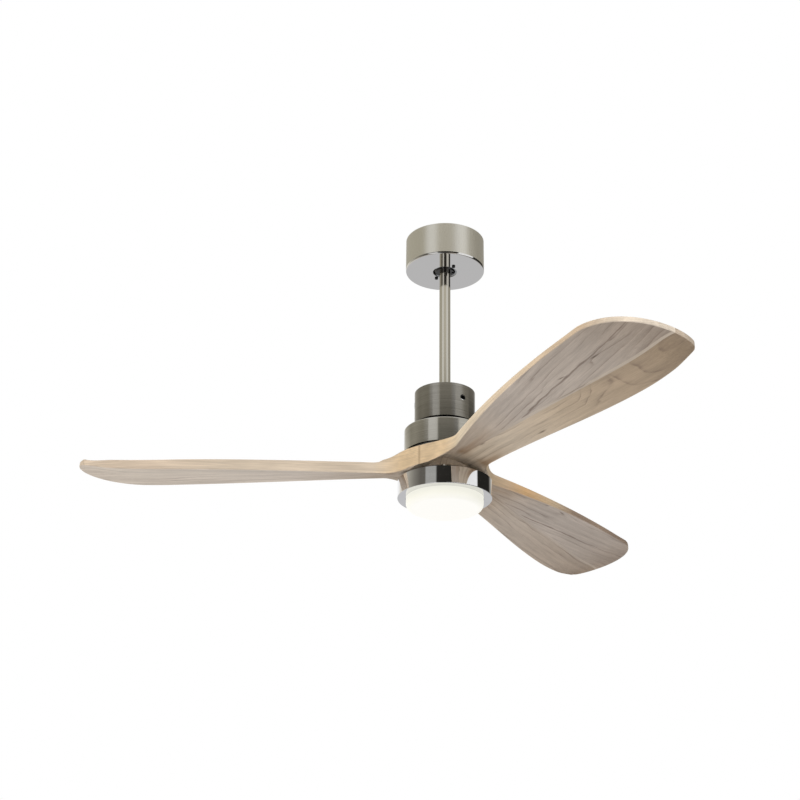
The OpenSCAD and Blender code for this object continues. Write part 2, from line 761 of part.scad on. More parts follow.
// Height of the wing's middle, and its thickness, at a place on the wing
function out(s) = min(max((s - waist_s) / lead_run, 0), 1.2);
function pitch(s) = tip_pitch + (root_pitch - tip_pitch) * pow(max(1 - out(s), 0), 3);
function lift(s) = tip_lift * pow(min(max((s - lead_end_s + 60) / 150, 0), 1.5), 2);
function middle(s, y) = root_rise - (root_rise + tip_droop - 1.2) * pow(out(s), 1.6) + lift(s)
    - y * tan(pitch(s));
function lead_thick(s) = lead_t + (root_t - lead_t) * pow(max(1 - out(s), 0), 2);
function trail_thick(s) = root_t + (trail_t - root_t) * pow(min(out(s) / 1.2, 1), 3);
function thick(s, v) = mix(lead_thick(s), trail_thick(s), v);
function belly(v) = 4 * v * (1 - v);
function wing_low(p, v) = middle(max(p[0], waist_s), p[1]) - thick(p[0], v) / 2 + hollow * belly(v);
function wing_high(p, v) = middle(max(p[0], waist_s), p[1]) + thick(p[0], v) / 2 + hollow * belly(v);

// A rib is [part of the blade, how far along it]. Its shape is worked out across v = 0 to 1.
ribs = concat(
    [for (r = [4, boss_r / 2, boss_r, boss_r + 0.8, hub_r]) ["hub", r]],
    [for (i = [1 : neck_ribs]) ["neck", i / neck_ribs]],
    [for (i = [1 : main_ribs]) ["wing", i / main_ribs]],
    [for (i = [1 : tip_ribs]) ["tip", i / tip_ribs]]
);
function hub_arc(r, v) = polar(r, mix(seam_lead + joint_turn(r), seam_trail - joint_turn(r), v));
function spot(rib, v) = let (t = rib[1])
    rib[0] == "hub" ? hub_arc(t, v) :
    rib[0] == "neck" ? mix(bezier(lead_neck, t), bezier(trail_neck, t), v)
        + (1 - t) * (hub_arc(hub_r, v) - mix(lead_root, trail_root, v)) :
    rib[0] == "wing" ? mix(bezier(lead_edge, t), bezier(trail_edge, t * tip_start), v) :
    mix(bezier(tip_edge, t * 0.97), bezier(trail_edge, mix(tip_start, 1, t)), v);

// How far a rib has changed from hub to wing: under it, where its middle changes first, and on
// top, where the change starts later and runs on into the wing
function wing_share(rib) =
    rib[0] == "hub" ? 0 : rib[0] == "neck" ? smooth((rib[1] - 0.1) / 0.9) : 1;
function neck_run(rib) = rib[0] == "hub" ? 0 : rib[0] == "neck" ? rib[1] :
    rib[0] == "wing" ? 1 + (bezier(lead_edge, rib[1])[0] - waist_s) / (waist_s - hub_r) : 9;
function top_share(rib) = smooth((neck_run(rib) - 0.24) / 1.17);
function scoop(rib, v) = rib[0] == "hub" && rib[1] <= boss_r ? 0 :
    1 - (1 - wing_share(rib)) * (1 - smooth(v / 0.3) * smooth((1 - v) / 0.3));
function low(rib, v) = mix(hub_low, wing_low(spot(rib, v), v), scoop(rib, v));
function high(rib, v) = mix(hub_high, wing_high(spot(rib, v), v), top_share(rib));
function rounding(rib) = let (len = norm(spot(rib, 1) - spot(rib, 0)))
    min(len * 0.3, mix(seam_arris, arris, rib[0] == "hub" ? 0 : rib[0] == "neck" ? rib[1] : 1));

// Points across a rib: a rounded corner at each end and even steps between them
steps = 11;
function share(j, c) = j == 0 ? 0 : j == steps + 2 ? 1 : mix(c, 1 - c, (j - 1) / steps);
function corner(j, r) = j == 0 || j == steps + 2 ? r : 0;
function rib_points(rib) = let (r = rounding(rib), c = r / norm(spot(rib, 1) - spot(rib, 0))) concat(
    [for (j = [0 : steps + 2]) let (v = share(j, c), p = spot(rib, v))
        [p[0], p[1], low(rib, v) + corner(j, r)]],
    [for (j = [steps + 2 : -1 : 0]) let (v = share(j, c), p = spot(rib, v))
        [p[0], p[1], high(rib, v) - corner(j, r)]]
);
loop = 2 * (steps + 3);
blade_points = [for (rib = ribs) each rib_points(rib)];
blade_faces = let (last = (len(ribs) - 1) * loop) concat(
    [for (i = [0 : len(ribs) - 2], j = [0 : loop - 1])
        let (a = i * loop + j, b = i * loop + (j + 1) % loop)
        each [[a, a + loop, b + loop], [a, b + loop, b]]],
    [for (j = [0 : steps + 1]) let (a = j, b = j + 1, c = loop - 2 - j, d = loop - 1 - j)
        each [[a, b, c], [a, c, d], [last + a, last + c, last + b], [last + a, last + d, last + c]]]
);

module blade(i) {
    middle_angle = (seam_lead + seam_trail) / 2;
    color("tan") rotate(blade_angles[i]) difference() {
        translate([0, 0, blade_z]) polyhedron(blade_points, blade_faces, convexity = 6);
        translate([0, 0, hub_bottom_z - 10]) cylinder(r = hub_bore_r, h = hub_h + 20);
        at_angles([middle_angle - 40, middle_angle, middle_angle + 40], bolt_at)
            translate([0, 0, hub_bottom_z - 10])
            cylinder(r = bolt_r + fit, h = hub_h + 20, $fn = 24);
    }
}

module blade_1() {
    blade(0);
}

module blade_2() {
    blade(1);
}

module blade_3() {
    blade(2);
}

// ---------------------------------------------------------------- light kit

top_rim = 12;                                 // in-turned rim round the top of the light housing
light_plate_r = light_r - 5;
light_screw_at = light_r - sheet - top_rim / 2 - 0.8;
light_screw_angles = ring_angles(3, 30);
light_screw_r = 1.8;
board_gap = 13;
board_t = 1.6;
board_z = light_top_z - board_gap;            // top face of the LED board
board_r = diffuser_r - 4;
standoff_at = board_r - 10;
standoff_r = 3.5;
standoff_angles = ring_angles(3, 90);
board_screw_r = 1.4;
connector_top_z = shaft_end_z - 1.5;
opening_r = diffuser_r + 0.5;
lens_in = diffuser_r - diffuser_wall;         // inner radius of the diffuser
hook_t = 2.5;
hook_z = board_z - board_t - 8.5;             // underside of the lens ring and its hooks
lug_z = hook_z + hook_t + slip;
lug_t = 2.5;
lug_span = 14;
hook_span = 18;
hook_angles = ring_angles(3, 82);
lens_ring_in = lens_in - 8;
lens_ring_out = lens_in - 3.4;
lens_screw_angles = ring_angles(3, 30);
lens_screw_at = (lens_ring_in + lens_ring_out) / 2;

module shaft_nuts() {
    color("silver") for (z = [plate_top_z, light_top_z - shaft_nut_t]) translate([0, 0, z]) difference() {
        cylinder(r = shaft_nut_r, h = shaft_nut_t, $fn = 6);
        translate([0, 0, -eps]) cylinder(r = shaft_r + fit, h = shaft_nut_t + 2 * eps);
    }
}

module light_plate() {
    color("silver") translate([0, 0, light_top_z]) difference() {
        ring(shaft_r + fit, light_plate_r, plate_t);
        at_angles(light_screw_angles, light_screw_at) translate([0, 0, -eps])
            cylinder(r = light_screw_r + fit, h = plate_t + 2 * eps, $fn = 24);
        at_angles(standoff_angles, standoff_at) translate([0, 0, -eps])
            cylinder(r = board_screw_r + fit, h = plate_t + 2 * eps, $fn = 24);
    }
}

module light_housing() {
    color("whitesmoke") difference() {
        union() {
            translate([0, 0, light_bottom_z]) cup(light_r, light_h, sheet, edge_r / 2);
            translate([0, 0, light_top_z - sheet])
                ring(light_r - sheet - top_rim, light_r - sheet / 2, sheet);
        }
        translate([0, 0, light_bottom_z - eps]) cylinder(r = opening_r, h = sheet + 2 * eps);
        at_angles(light_screw_angles, light_screw_at) translate([0, 0, light_top_z - sheet - 1])
            cylinder(r = light_screw_r + fit, h = sheet + 2, $fn = 24);
    }
}

module light_screws() {
    color("dimgray") at_angles(light_screw_angles, light_screw_at)
        translate([0, 0, plate_top_z]) screw_down(light_screw_r, 8, 3.4, 1.8);
}

// Driver box under the plate, beside the shaft's nut
driver_x = shaft_nut_r + 2;
driver_l = 30;
driver_w = 50;
driver_h = board_gap - 2;

module led_driver() {
    color("whitesmoke") difference() {
        translate([driver_x, -driver_w / 2, light_top_z - driver_h])
            cube([driver_l, driver_w, driver_h]);
        for (y = [-1, 1]) translate([driver_x + driver_l / 2, y * driver_w / 2, light_top_z - driver_h - eps])
            cylinder(r = 4, h = driver_h - 2);
    }
}

module light_connector() {
    color("ivory") difference() {
        translate([-8, -5, board_z]) cube([16, 10, connector_top_z - board_z]);
        for (x = [-4.5, 4.5]) translate([x, -5 - eps, board_z + 1]) cube([1, 3, 1]);
    }
}

module board_standoffs() {
    color("gold") at_angles(standoff_angles, standoff_at) translate([0, 0, board_z]) difference() {
        union() {
            cylinder(r = standoff_r, h = board_gap, $fn = 6);
            cylinder(r = board_screw_r, h = board_gap + plate_t, $fn = 24);
        }
        translate([0, 0, -eps]) cylinder(r = board_screw_r + fit, h = 8, $fn = 24);
    }
}

module board_screws() {
    color("dimgray") at_angles(standoff_angles, standoff_at)
        translate([0, 0, board_z - board_t]) screw(board_screw_r, 6, 2.8, 1.4);
}

module led_board() {
    color("white") translate([0, 0, board_z - board_t]) difference() {
        cylinder(r = board_r, h = board_t);
        at_angles(standoff_angles, standoff_at) translate([0, 0, -eps])
            cylinder(r = board_screw_r + fit, h = board_t + 2 * eps, $fn = 24);
        at_angles(lens_screw_angles, lens_screw_at) translate([0, 0, -eps])
            cylinder(r = board_screw_r + fit, h = board_t + 2 * eps, $fn = 24);
    }
}

// Two rings of chips under the board, kept clear of its screws
module led_chips() {
    chip = 3;
    color("khaki") {
        at_angles(ring_angles(led_count, 180 / led_count), standoff_at - 9)
            translate([-chip / 2, -chip / 2, board_z - board_t - 0.8]) cube([chip, chip, 0.8]);
        at_angles(ring_angles(led_count / 2), standoff_at / 2)
            translate([-chip / 2, -chip / 2, board_z - board_t - 0.8]) cube([chip, chip, 0.8]);
    }
}

// Ring under the board, whose hooks carry the diffuser's lugs, each with a stop at one end
module lens_ring() {
    ring_h = board_z - board_t - hook_z;
    color("white") translate([0, 0, hook_z]) difference() {
        union() {
            ring(lens_ring_in, lens_ring_out, ring_h);
            for (a = hook_angles) rotate(a) {
                arc_ring(lens_ring_out - 0.5, lens_in - 0.4, hook_t, 0, hook_span);
                arc_ring(lens_ring_out - 0.5, lens_in - 0.4, ring_h - 2, -3, 0);
            }
        }
        at_angles(lens_screw_angles, lens_screw_at) translate([0, 0, ring_h - 6])
            cylinder(r = board_screw_r + fit, h = 7, $fn = 24);
    }
}

module lens_ring_screws() {
    color("dimgray") at_angles(lens_screw_angles, lens_screw_at)
        translate([0, 0, board_z]) screw_down(board_screw_r, board_t + 5, 2.6, 1.4);
}

module diffuser() {
    top_z = board_z - board_t - 1.5;
    color("ivory") {
        translate([0, 0, diffuser_z]) cup(diffuser_r, top_z - diffuser_z, diffuser_wall, diffuser_edge);
        for (a = hook_angles) rotate(a + 1)
            translate([0, 0, lug_z])
            arc_ring(lens_ring_out + 0.5, lens_in + 0.5, lug_t, 0, lug_span);
    }
}

// ---------------------------------------------------------------- parts

hanger_bracket();
canopy();
canopy_screws();
terminal_block();
receiver();
module_screws();
hanger_ball();
ball_pin();
downrod();
rod_grommet();
power_leads();
coupling_yoke();
yoke_pin();
yoke_clip();
yoke_set_screws();
coupling_cover();
cover_screws();
motor_shaft();
motor_housing();
housing_screws();
stator_core();
stator_windings();
bearing_inner_rings();
bearing_outer_rings();
bearing_balls();
bearing_cages();
rotor_bell();
rotor_magnets();
rotor_flange();
bell_screws();
blade_1();
blade_2();
blade_3();
hub_plate();
blade_bolts();
shaft_nuts();
light_plate();
light_housing();
light_screws();
led_driver();
light_connector();
board_standoffs();
board_screws();
led_board();
led_chips();
lens_ring();
lens_ring_screws();
diffuser();
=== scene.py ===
"""Ceiling fan with a carved wooden propeller: its finishes, its blades, and the studio round it.

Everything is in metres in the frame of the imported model: the ceiling is z = 0, the fan hangs
below it, and it is seen from the -Y side. Real sizes are written in millimetres as n * MM.
"""
import math
from types import SimpleNamespace

import bpy
from mathutils import Matrix, Vector


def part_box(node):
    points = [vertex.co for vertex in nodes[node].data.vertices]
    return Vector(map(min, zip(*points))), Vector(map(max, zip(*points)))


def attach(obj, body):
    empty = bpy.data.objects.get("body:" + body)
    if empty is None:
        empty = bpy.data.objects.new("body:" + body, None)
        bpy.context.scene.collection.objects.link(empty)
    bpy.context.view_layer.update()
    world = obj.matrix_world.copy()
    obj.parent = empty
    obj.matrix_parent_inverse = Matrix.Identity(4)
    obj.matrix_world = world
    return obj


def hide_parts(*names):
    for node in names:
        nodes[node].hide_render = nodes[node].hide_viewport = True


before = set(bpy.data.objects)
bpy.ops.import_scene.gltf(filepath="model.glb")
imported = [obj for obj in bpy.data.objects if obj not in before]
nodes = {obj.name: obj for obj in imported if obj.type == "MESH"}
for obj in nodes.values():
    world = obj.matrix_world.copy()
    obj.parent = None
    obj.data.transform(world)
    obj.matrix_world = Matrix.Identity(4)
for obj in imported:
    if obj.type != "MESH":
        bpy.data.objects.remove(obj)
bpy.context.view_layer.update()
MM = 0.001

# ---------------------------------------------------------------- camera

CAMERA_PLACE = (0.0, -2.5847, -1.4772)
CAMERA_LENS = 68.67                     # focal length in millimetres
CAMERA_PITCH = 23.855                   # degrees above the horizon
CAMERA_TURN = 1.84                      # degrees to the left of +Y
CAMERA_ROLL = 0.79                      # degrees


def make_camera():
    data = bpy.data.cameras.new("camera")
    data.lens = CAMERA_LENS
    camera = bpy.data.objects.new("camera", data)
    turn = Matrix.Rotation(math.radians(CAMERA_TURN), 4, "Z")
    pitch = Matrix.Rotation(math.radians(90 + CAMERA_PITCH), 4, "X")
    roll = Matrix.Rotation(math.radians(CAMERA_ROLL), 4, "Z")
    camera.matrix_world = Matrix.Translation(CAMERA_PLACE) @ turn @ pitch @ roll
    bpy.context.scene.collection.objects.link(camera)
    bpy.context.scene.camera = camera


make_camera()

# ---------------------------------------------------------------- helpers


def mix(a, b, t):
    return a + (b - a) * t


def colour(text):
    """A hex colour such as #C8B090, turned from sRGB to linear."""
    parts = [int(text[i:i + 2], 16) / 255 for i in (1, 3, 5)]
    linear = [p / 12.92 if p <= 0.04045 else ((p + 0.055) / 1.055) ** 2.4 for p in parts]
    return (*linear, 1.0)


def feed(tree, node, inputs):
    """Sets a node's inputs, by name or in order. Each is a value, a colour or a node's output."""
    for key, value in inputs.items() if isinstance(inputs, dict) else enumerate(inputs):
        socket = node.inputs[key]
        if isinstance(value, bpy.types.NodeSocket):
            tree.links.new(value, socket)
        else:
            socket.default_value = colour(value) if isinstance(value, str) else value


def add(tree, kind, inputs=(), stops=None, out=0, **settings):
    """Adds a node with its settings and inputs, and returns its output of that name or number."""
    node = tree.nodes.new("ShaderNode" + kind)
    for name, value in settings.items():
        setattr(node, name, value)
    feed(tree, node, inputs)
    if stops:
        ramp = node.color_ramp.elements
        while len(ramp) < len(stops):
            ramp.new(0.5)
        for element, (place, shade) in zip(ramp, sorted(stops)):
            element.position = place
            element.color = colour(shade) if isinstance(shade, str) else (shade, shade, shade, 1)
    return node.outputs[out]


def new_finish(name, **shader):
    """A material with its shader's plain values set. Returns its tree, shader and place socket."""
    made = bpy.data.materials.new(name)
    made.use_nodes = True
    tree = made.node_tree
    principled = tree.nodes["Principled BSDF"]
    feed(tree, principled, {key.replace("_", " "): value for key, value in shader.items()})
    return made, tree, principled, add(tree, "TexCoord", out="Object")


def streaks(tree, place, size, detail=3.0):
    """Noise whose grain has the given size in metres along X, Y and Z."""
    mapped = add(tree, "Mapping", {"Vector": place, "Scale": tuple(1.0 / s for s in size)})
    return add(tree, "TexNoise", {"Vector": mapped, "Scale": 1.0, "Detail": detail})


def vary(tree, shader, pattern, shades, roughness, bump, depth):
    """A pattern moves the shader's colour and roughness and raises a bump of that depth.
    Returns the colour and roughness, for finishes that change them further."""
    tone = add(tree, "ValToRGB", [pattern], stops=[(0.3, shades[0]), (0.7, shades[1])])
    rough = add(tree, "MapRange", {"Value": pattern, "To Min": roughness[0], "To Max": roughness[1]})
    raised = add(tree, "Bump", {"Height": pattern, "Strength": bump, "Distance": depth})
    feed(tree, shader, {"Base Color": tone, "Roughness": rough, "Normal": raised})
    return tone, rough


def turns_along_z(tree, place, step):
    """Evenly stacked layers or turns of wire: 0 in each groove and 1 on each crest."""
    height = add(tree, "SeparateXYZ", [place], out="Z")
    counted = add(tree, "Math", [height, 1 / step], operation="MULTIPLY")
    crests = add(tree, "Math", [counted, 0.5], operation="PINGPONG")
    return add(tree, "Math", [crests, 2.0], operation="MULTIPLY")


# ---------------------------------------------------------------- metals


def metal(name, grain, detail, shades, roughness, bump, depth):
    """Bare or plated metal. Its grain, of that size along X, Y and Z, moves its colour and
    roughness and raises a bump of that depth."""
    made, tree, shader, place = new_finish(name, Metallic=1.0)
    vary(tree, shader, streaks(tree, place, grain, detail), shades, roughness, bump, depth)
    return made


CURL = (3.9 * MM, 4.3 * MM)             # height over its end at which the canopy's curl turns to wall


def satin_nickel():
    """Nickel plate over spun steel, brushed satin up and down its wall and polished on its closed
    end and on the last 4 mm of the wall, which curl in. The wall holds soft upright bands, the
    curl holds sharp ones, and the end mirrors the rod. The brushed lines are 0.3 mm, drawn at
    0.9 mm so that they show."""
    made, tree, shader, place = new_finish("satin_nickel", Metallic=1.0)
    grain = streaks(tree, place, (0.9 * MM, 0.9 * MM, 30 * MM))
    tone, rough = vary(tree, shader, grain, ("#CBC8BE", "#D3D0C7"), (0.25, 0.32), 0.05, 0.02 * MM)
    height = add(tree, "SeparateXYZ", [place], out="Z")
    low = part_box("canopy")[0].z
    wall = add(tree, "MapRange", {
        "Value": height, "From Min": low + CURL[0], "From Max": low + CURL[1]})
    curl = add(tree, "MapRange", {"Value": wall, "To Min": -0.2, "To Max": 0.0})
    facing = add(tree, "NewGeometry", out="Normal")
    turned = add(tree, "VectorMath", [facing, add(tree, "CombineXYZ", {"Z": curl})], operation="ADD")
    feed(tree, shader, {
        "Base Color": add(tree, "MixRGB", [wall, "#DEDDDC", tone]),
        "Roughness": add(tree, "Mix", {"Factor": wall, "A": 0.04, "B": rough}, data_type="FLOAT"),
        "Normal": add(tree, "VectorMath", [turned], operation="NORMALIZE")})
    return made


SCREW_TURN = math.radians(66)           # direction of one screw round the cover
SCREW_GAP = math.radians(120)           # turn from each screw to the next
CHAMFER_R = 4.0 * MM                    # where the screw's flat end meets its chamfer
WORN_R = 4.3 * MM                       # from here outwards the chamfer is bright
CHAMFER_SLOPE = -0.7


def chamfered_screw():
    """Blackened screws round the cover, whose chamfered outer edges are worn back to bright
    steel. They lie a third of a turn apart."""
    made, tree, shader, place = new_finish("chamfered_screw", Metallic=1.0)
    wear = streaks(tree, place, (1.5 * MM, 1.5 * MM, 1.5 * MM))
    tone, _ = vary(tree, shader, wear, ("#121213", "#242425"), (0.20, 0.32), 0.06, 0.02 * MM)
    low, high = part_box("cover_screws")
    x, y, z = (add(tree, "SeparateXYZ", [place], out=axis) for axis in "XYZ")
    # Distance from the axis of the nearest screw, by the angle to it and the height over it
    around = add(tree, "Math", [y, x], operation="ARCTAN2")
    around = add(tree, "Math", [around, SCREW_TURN], operation="SUBTRACT")
    around = add(tree, "Math", [around, SCREW_GAP / 2, -SCREW_GAP / 2], operation="WRAP")
    sideways = add(tree, "Math", [around], operation="SINE")
    sideways = add(tree, "Math", [sideways, high.x], operation="MULTIPLY")
    level = add(tree, "Math", [z, (low.z + high.z) / 2], operation="SUBTRACT")
    off_axis = add(tree, "CombineXYZ", [sideways, level])
    radius = add(tree, "VectorMath", [off_axis], operation="LENGTH", out="Value")
    worn = add(tree, "MapRange", {"Value": radius, "From Min": CHAMFER_R, "From Max": WORN_R})
    cone = add(tree, "Math", [radius, CHAMFER_R], operation="MAXIMUM")
    slope = add(tree, "Math", [cone, CHAMFER_SLOPE], operation="MULTIPLY")
    feed(tree, shader, {
        "Base Color": add(tree, "MixRGB", [worn, tone, "#F0EFEC"]),
        "Normal": add(tree, "Bump", {"Height": slope, "Strength": 1.0, "Distance": 1.0})})
    return made


def core_steel():
    """Stacked 0.5 mm sheets of silicon steel: thin dark lines lie between bluish sheets."""
    made, tree, shader, place = new_finish("core_steel", Metallic=1.0)
    sheets = turns_along_z(tree, place, 0.5 * MM)
    vary(tree, shader, sheets, ("#3E444B", "#7B838B"), (0.55, 0.38), 0.3, 0.05 * MM)
    return made


# ---------------------------------------------------------------- plastics and small finishes


def non_metal(name, shades, roughness, grain, bump):
    """Plastic, rubber or the like: an even colour with a fine texture, whose grain has that size."""
    made, tree, shader, place = new_finish(name, IOR=1.5)
    texture = streaks(tree, place, (grain, grain, grain), 4.0)
    vary(tree, shader, texture, shades, roughness, bump, 0.03 * MM)
    return made


def enamelled_copper():
    """Enamelled copper wire: reddish brown turns with a wet gloss, painted darker in the grooves between
    the turns as painted shade. The 0.6 mm wire is drawn as 1 mm turns so that they show."""
    made, tree, shader, place = new_finish("enamelled_copper", Metallic=1.0, Coat_Weight=0.6)
    wires = turns_along_z(tree, place, 1.0 * MM)
    # Painted shade in the grooves between the turns, lighter on their crests
    vary(tree, shader, wires, ("#6E3418", "#B9683A"), (0.40, 0.24), 0.6, 0.3 * MM)
    return made


def lead_insulation():
    """PVC-insulated wires, one colour each by the quarter of the rod that they lie in."""
    made, tree, shader, place = new_finish("lead_insulation", IOR=1.53, Roughness=0.38)
    right, back = (add(tree, "Math", [add(tree, "SeparateXYZ", [place], out=axis), 0.0],
                       operation="GREATER_THAN") for axis in "XY")
    front_pair = add(tree, "MixRGB", [right, "#2A2A2C", "#9C1F1A"])
    back_pair = add(tree, "MixRGB", [right, "#E4E2DC", "#23529C"])
    either = add(tree, "MixRGB", [back, front_pair, back_pair])
    dust = streaks(tree, place, (1.2 * MM, 1.2 * MM, 5 * MM))
    share = add(tree, "Math", [dust, 0.12], operation="MULTIPLY")
    feed(tree, shader, {"Base Color": add(tree, "MixRGB", [share, either, "#8A8682"])})
    return made


def led_phosphor():
    """Silicone dome of phosphor over a lit LED chip: strong yellow, with an even glow."""
    made, tree, shader, place = new_finish(
        "led_phosphor", IOR=1.41, Emission_Color="#FFE9B0", Emission_Strength=0.6)
    spots = streaks(tree, place, (0.5 * MM, 0.5 * MM, 0.5 * MM))
    vary(tree, shader, spots, ("#E0B23C", "#F2CE60"), (0.35, 0.5), 0.1, 0.02 * MM)
    return made


def opal_acrylic():
    """Blow-moulded opal acrylic, lit from inside: an even warm white glow, a little yellower
    towards the edge of its face, under a soft satin surface."""
    made, tree, shader, place = new_finish("opal_acrylic", IOR=1.49, Emission_Strength=0.785)
    flat = add(tree, "Mapping", {"Vector": place, "Scale": (1.0, 1.0, 0.0)})
    radius = add(tree, "VectorMath", [flat], operation="LENGTH", out="Value")
    share = add(tree, "Math", [radius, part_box("diffuser")[1].x], operation="DIVIDE")
    glow = add(tree, "ValToRGB", [share], stops=[
        (0.0, "#FFFEFA"), (0.84, "#FFFEFA"), (0.97, "#FEFDF4"), (1.0, "#FCFBEF")])
    skin = streaks(tree, place, (2 * MM, 2 * MM, 2 * MM))
    vary(tree, shader, skin, ("#787772", "#7C7B76"), (0.42, 0.50), 0.03, 0.02 * MM)
    feed(tree, shader, {"Emission Color": glow})
    return made


# ---------------------------------------------------------------- wood

STRIP = (-24.5 * MM, -19 * MM)          # narrow pale strip between the two wide planks
GLUE_BLUR = 0.4 * MM                    # half the width over which one plank changes to the next
SLANT = 0.18                            # run of the leading plank's grain towards its edge
PLANK_SHIFT = 3.7                       # shift between the planks' places in the log
RING = 13 * MM                          # growth ring, 4 mm in the tree, drawn wide enough to show
HEART = 25 * MM                         # place across the leading plank of its longest dark line
HEART_WANDER = 14 * MM
BURL = (640 * MM, -5 * MM, 2.4)         # centre and stretch of a warm trailing plank's arcs
ARC_RING = 24 * MM                      # run of its growth rings across those arcs
ARC_START, ARC_FULL = 400 * MM, 500 * MM
KNOT_STRETCH = 6
KNOT_BEND = 0.7                         # rings by which a knot pushes the growth lines aside

# Shades, and how strong the painted shade near the hub is, by how far out along the blade they are
GREY_WASH = [(0.11, "#CDBCA6"), (0.15, "#B0A191"), (0.27, "#B5A798"), (0.42, "#BAAFA5"),
             (0.55, "#BBB0A6"), (0.80, "#B2A69B"), (0.97, "#A49485")]
OLIVE_WASH = [(0.11, "#CDBCA6"), (0.15, "#C6B6A0"), (0.30, "#CBBCA8"), (0.55, "#C0AD94"),
              (0.75, "#B29C81"), (0.97, "#8F785B")]
TRAIL_EDGE_BARE = [(0.12, "#D6BF9E"), (0.20, "#D6C8B6"), (0.60, "#D6C8B6"), (0.80, "#CFBFAD"),
                   (0.97, "#D8C8B5")]
# Painted shade on the blade roots beside the hub, strongest a little way out from it
HUB_PAINTED_SHADE = [(0.115, 0.0), (0.15, 1.0), (0.32, 0.0)]
# How dark one growth ring is from its early to its late wood
RING_PROFILE = [(0.0, 0.03), (0.55, 0.10), (0.82, 0.35), (0.93, 1.0), (1.0, 0.03)]


def stain(tree, tone, shade, share, strength):
    """A tone that turns to a shade as far as a share times a strength says."""
    amount = add(tree, "Math", [share, strength], operation="MULTIPLY")
    return add(tree, "MixRGB", [amount, tone, shade])


def stretched(tree, place, x, y, stretch):
    """Distance from an axis, shrunk along the grain so that equal distances lie on ovals."""
    centred = add(tree, "Mapping", {
        "Vector": place, "Location": (-x / stretch, -y, 0), "Scale": (1 / stretch, 1, 0)})
    return add(tree, "VectorMath", [centred], operation="LENGTH", out="Value")


def knot_marks(tree, place, knots):
    """Knots drawn out along the grain. Returns how dark they are and how they bend the rings."""
    dark, bend = 0.0, 0.0
    for x, y, size in knots:
        reach = stretched(tree, place, x, y, KNOT_STRETCH)
        near = add(tree, "MapRange", {
            "Value": reach, "From Max": size * KNOT_STRETCH, "To Min": 1.0, "To Max": 0.0},
            interpolation_type="SMOOTHSTEP")
        core = add(tree, "MapRange", {"Value": reach, "From Max": size, "To Min": 1.0, "To Max": 0.0})
        bend = add(tree, "Math", [near, KNOT_BEND, bend], operation="MULTIPLY_ADD")
        dark = add(tree, "Math", [core, dark], operation="MAXIMUM")
    return dark, bend


def lay_planks(tree, blade, offset):
    """The glued planks of a blade: the leading one's grain runs out to its edge, and the others'
    runs straight. Offset is the blade's place along the log."""
    x, y, z = (add(tree, "SeparateXYZ", [blade], out=axis) for axis in "XYZ")
    past_lead, trail = (add(tree, "MapRange", {
        "Value": y, "From Min": at - GLUE_BLUR, "From Max": at + GLUE_BLUR}) for at in STRIP)
    slant = add(tree, "Math", [past_lead, -SLANT, SLANT], operation="MULTIPLY_ADD")
    across = add(tree, "Math", [x, slant, y], operation="MULTIPLY_ADD")
    shift = add(tree, "Math", [past_lead, PLANK_SHIFT, trail], operation="MULTIPLY_ADD")
    shifted = add(tree, "Math", [across, shift], operation="ADD")
    along = add(tree, "Math", [x, offset], operation="ADD")
    return SimpleNamespace(
        x=x, across=across, trail=trail,
        out=add(tree, "Math", [x, 1 / TIP_R], operation="MULTIPLY"),
        lead=add(tree, "Math", [1.0, past_lead], operation="SUBTRACT"),
        strip=add(tree, "Math", [past_lead, trail], operation="SUBTRACT"),
        grain=add(tree, "CombineXYZ", [along, shifted, z]))


def heart_line(tree, planks, ripple):
    """One dark line that wanders along the leading plank."""
    away = add(tree, "Math", [planks.across, HEART_WANDER / 2 - HEART], operation="ADD")
    away = add(tree, "Math", [ripple, -HEART_WANDER, away], operation="MULTIPLY_ADD")
    away = add(tree, "Math", [away], operation="ABSOLUTE")
    line = add(tree, "MapRange", {
        "Value": away, "From Min": 0.4 * MM, "From Max": 2.2 * MM, "To Min": 1.2, "To Max": 0.0})
    return add(tree, "Math", [line, planks.lead], operation="MULTIPLY")


def growth_lines(tree, planks, blade, bend, warmth):
    """Late wood: thin dark lines that follow the grain, strong in some places and lost in others.
    Far out on a warm trailing plank they follow ovals across it instead."""
    arcs = add(tree, "MapRange", {
        "Value": planks.x, "From Min": ARC_START, "From Max": ARC_FULL, "To Max": warmth ** 4})
    arcs = add(tree, "Math", [planks.trail, arcs], operation="MULTIPLY")
    ovals = add(tree, "Math", [stretched(tree, blade, *BURL), RING / ARC_RING], operation="MULTIPLY")
    depth = add(tree, "Mix", {"Factor": arcs, "A": planks.across, "B": ovals}, data_type="FLOAT")
    rings = add(tree, "Math", [depth, 1 / RING, bend], operation="MULTIPLY_ADD")
    waves = streaks(tree, planks.grain, (300 * MM, 70 * MM, 90 * MM), 1.5)
    rings = add(tree, "Math", [waves, 3.0, rings], operation="MULTIPLY_ADD")
    ripple = streaks(tree, planks.grain, (70 * MM, 9 * MM, 14 * MM), 2.0)
    rough = add(tree, "MapRange", {"Value": arcs, "To Min": 0.7, "To Max": 0.12})
    rings = add(tree, "Math", [ripple, rough, rings], operation="MULTIPLY_ADD")
    ring = add(tree, "Math", [rings], operation="FRACT")
    late = add(tree, "ValToRGB", [ring], stops=RING_PROFILE)
    patches = streaks(tree, planks.grain, (200 * MM, 20 * MM, 30 * MM), 2.0)
    strong = add(tree, "MapRange", {
        "Value": patches, "From Min": 0.42, "From Max": 0.60, "To Min": 0.12})
    faint = add(tree, "Math", [arcs, 0.35], operation="MULTIPLY")
    strong = add(tree, "Math", [strong, faint], operation="MAXIMUM")
    late = add(tree, "Math", [late, strong], operation="MULTIPLY")
    return add(tree, "Math", [late, heart_line(tree, planks, ripple)], operation="MAXIMUM")


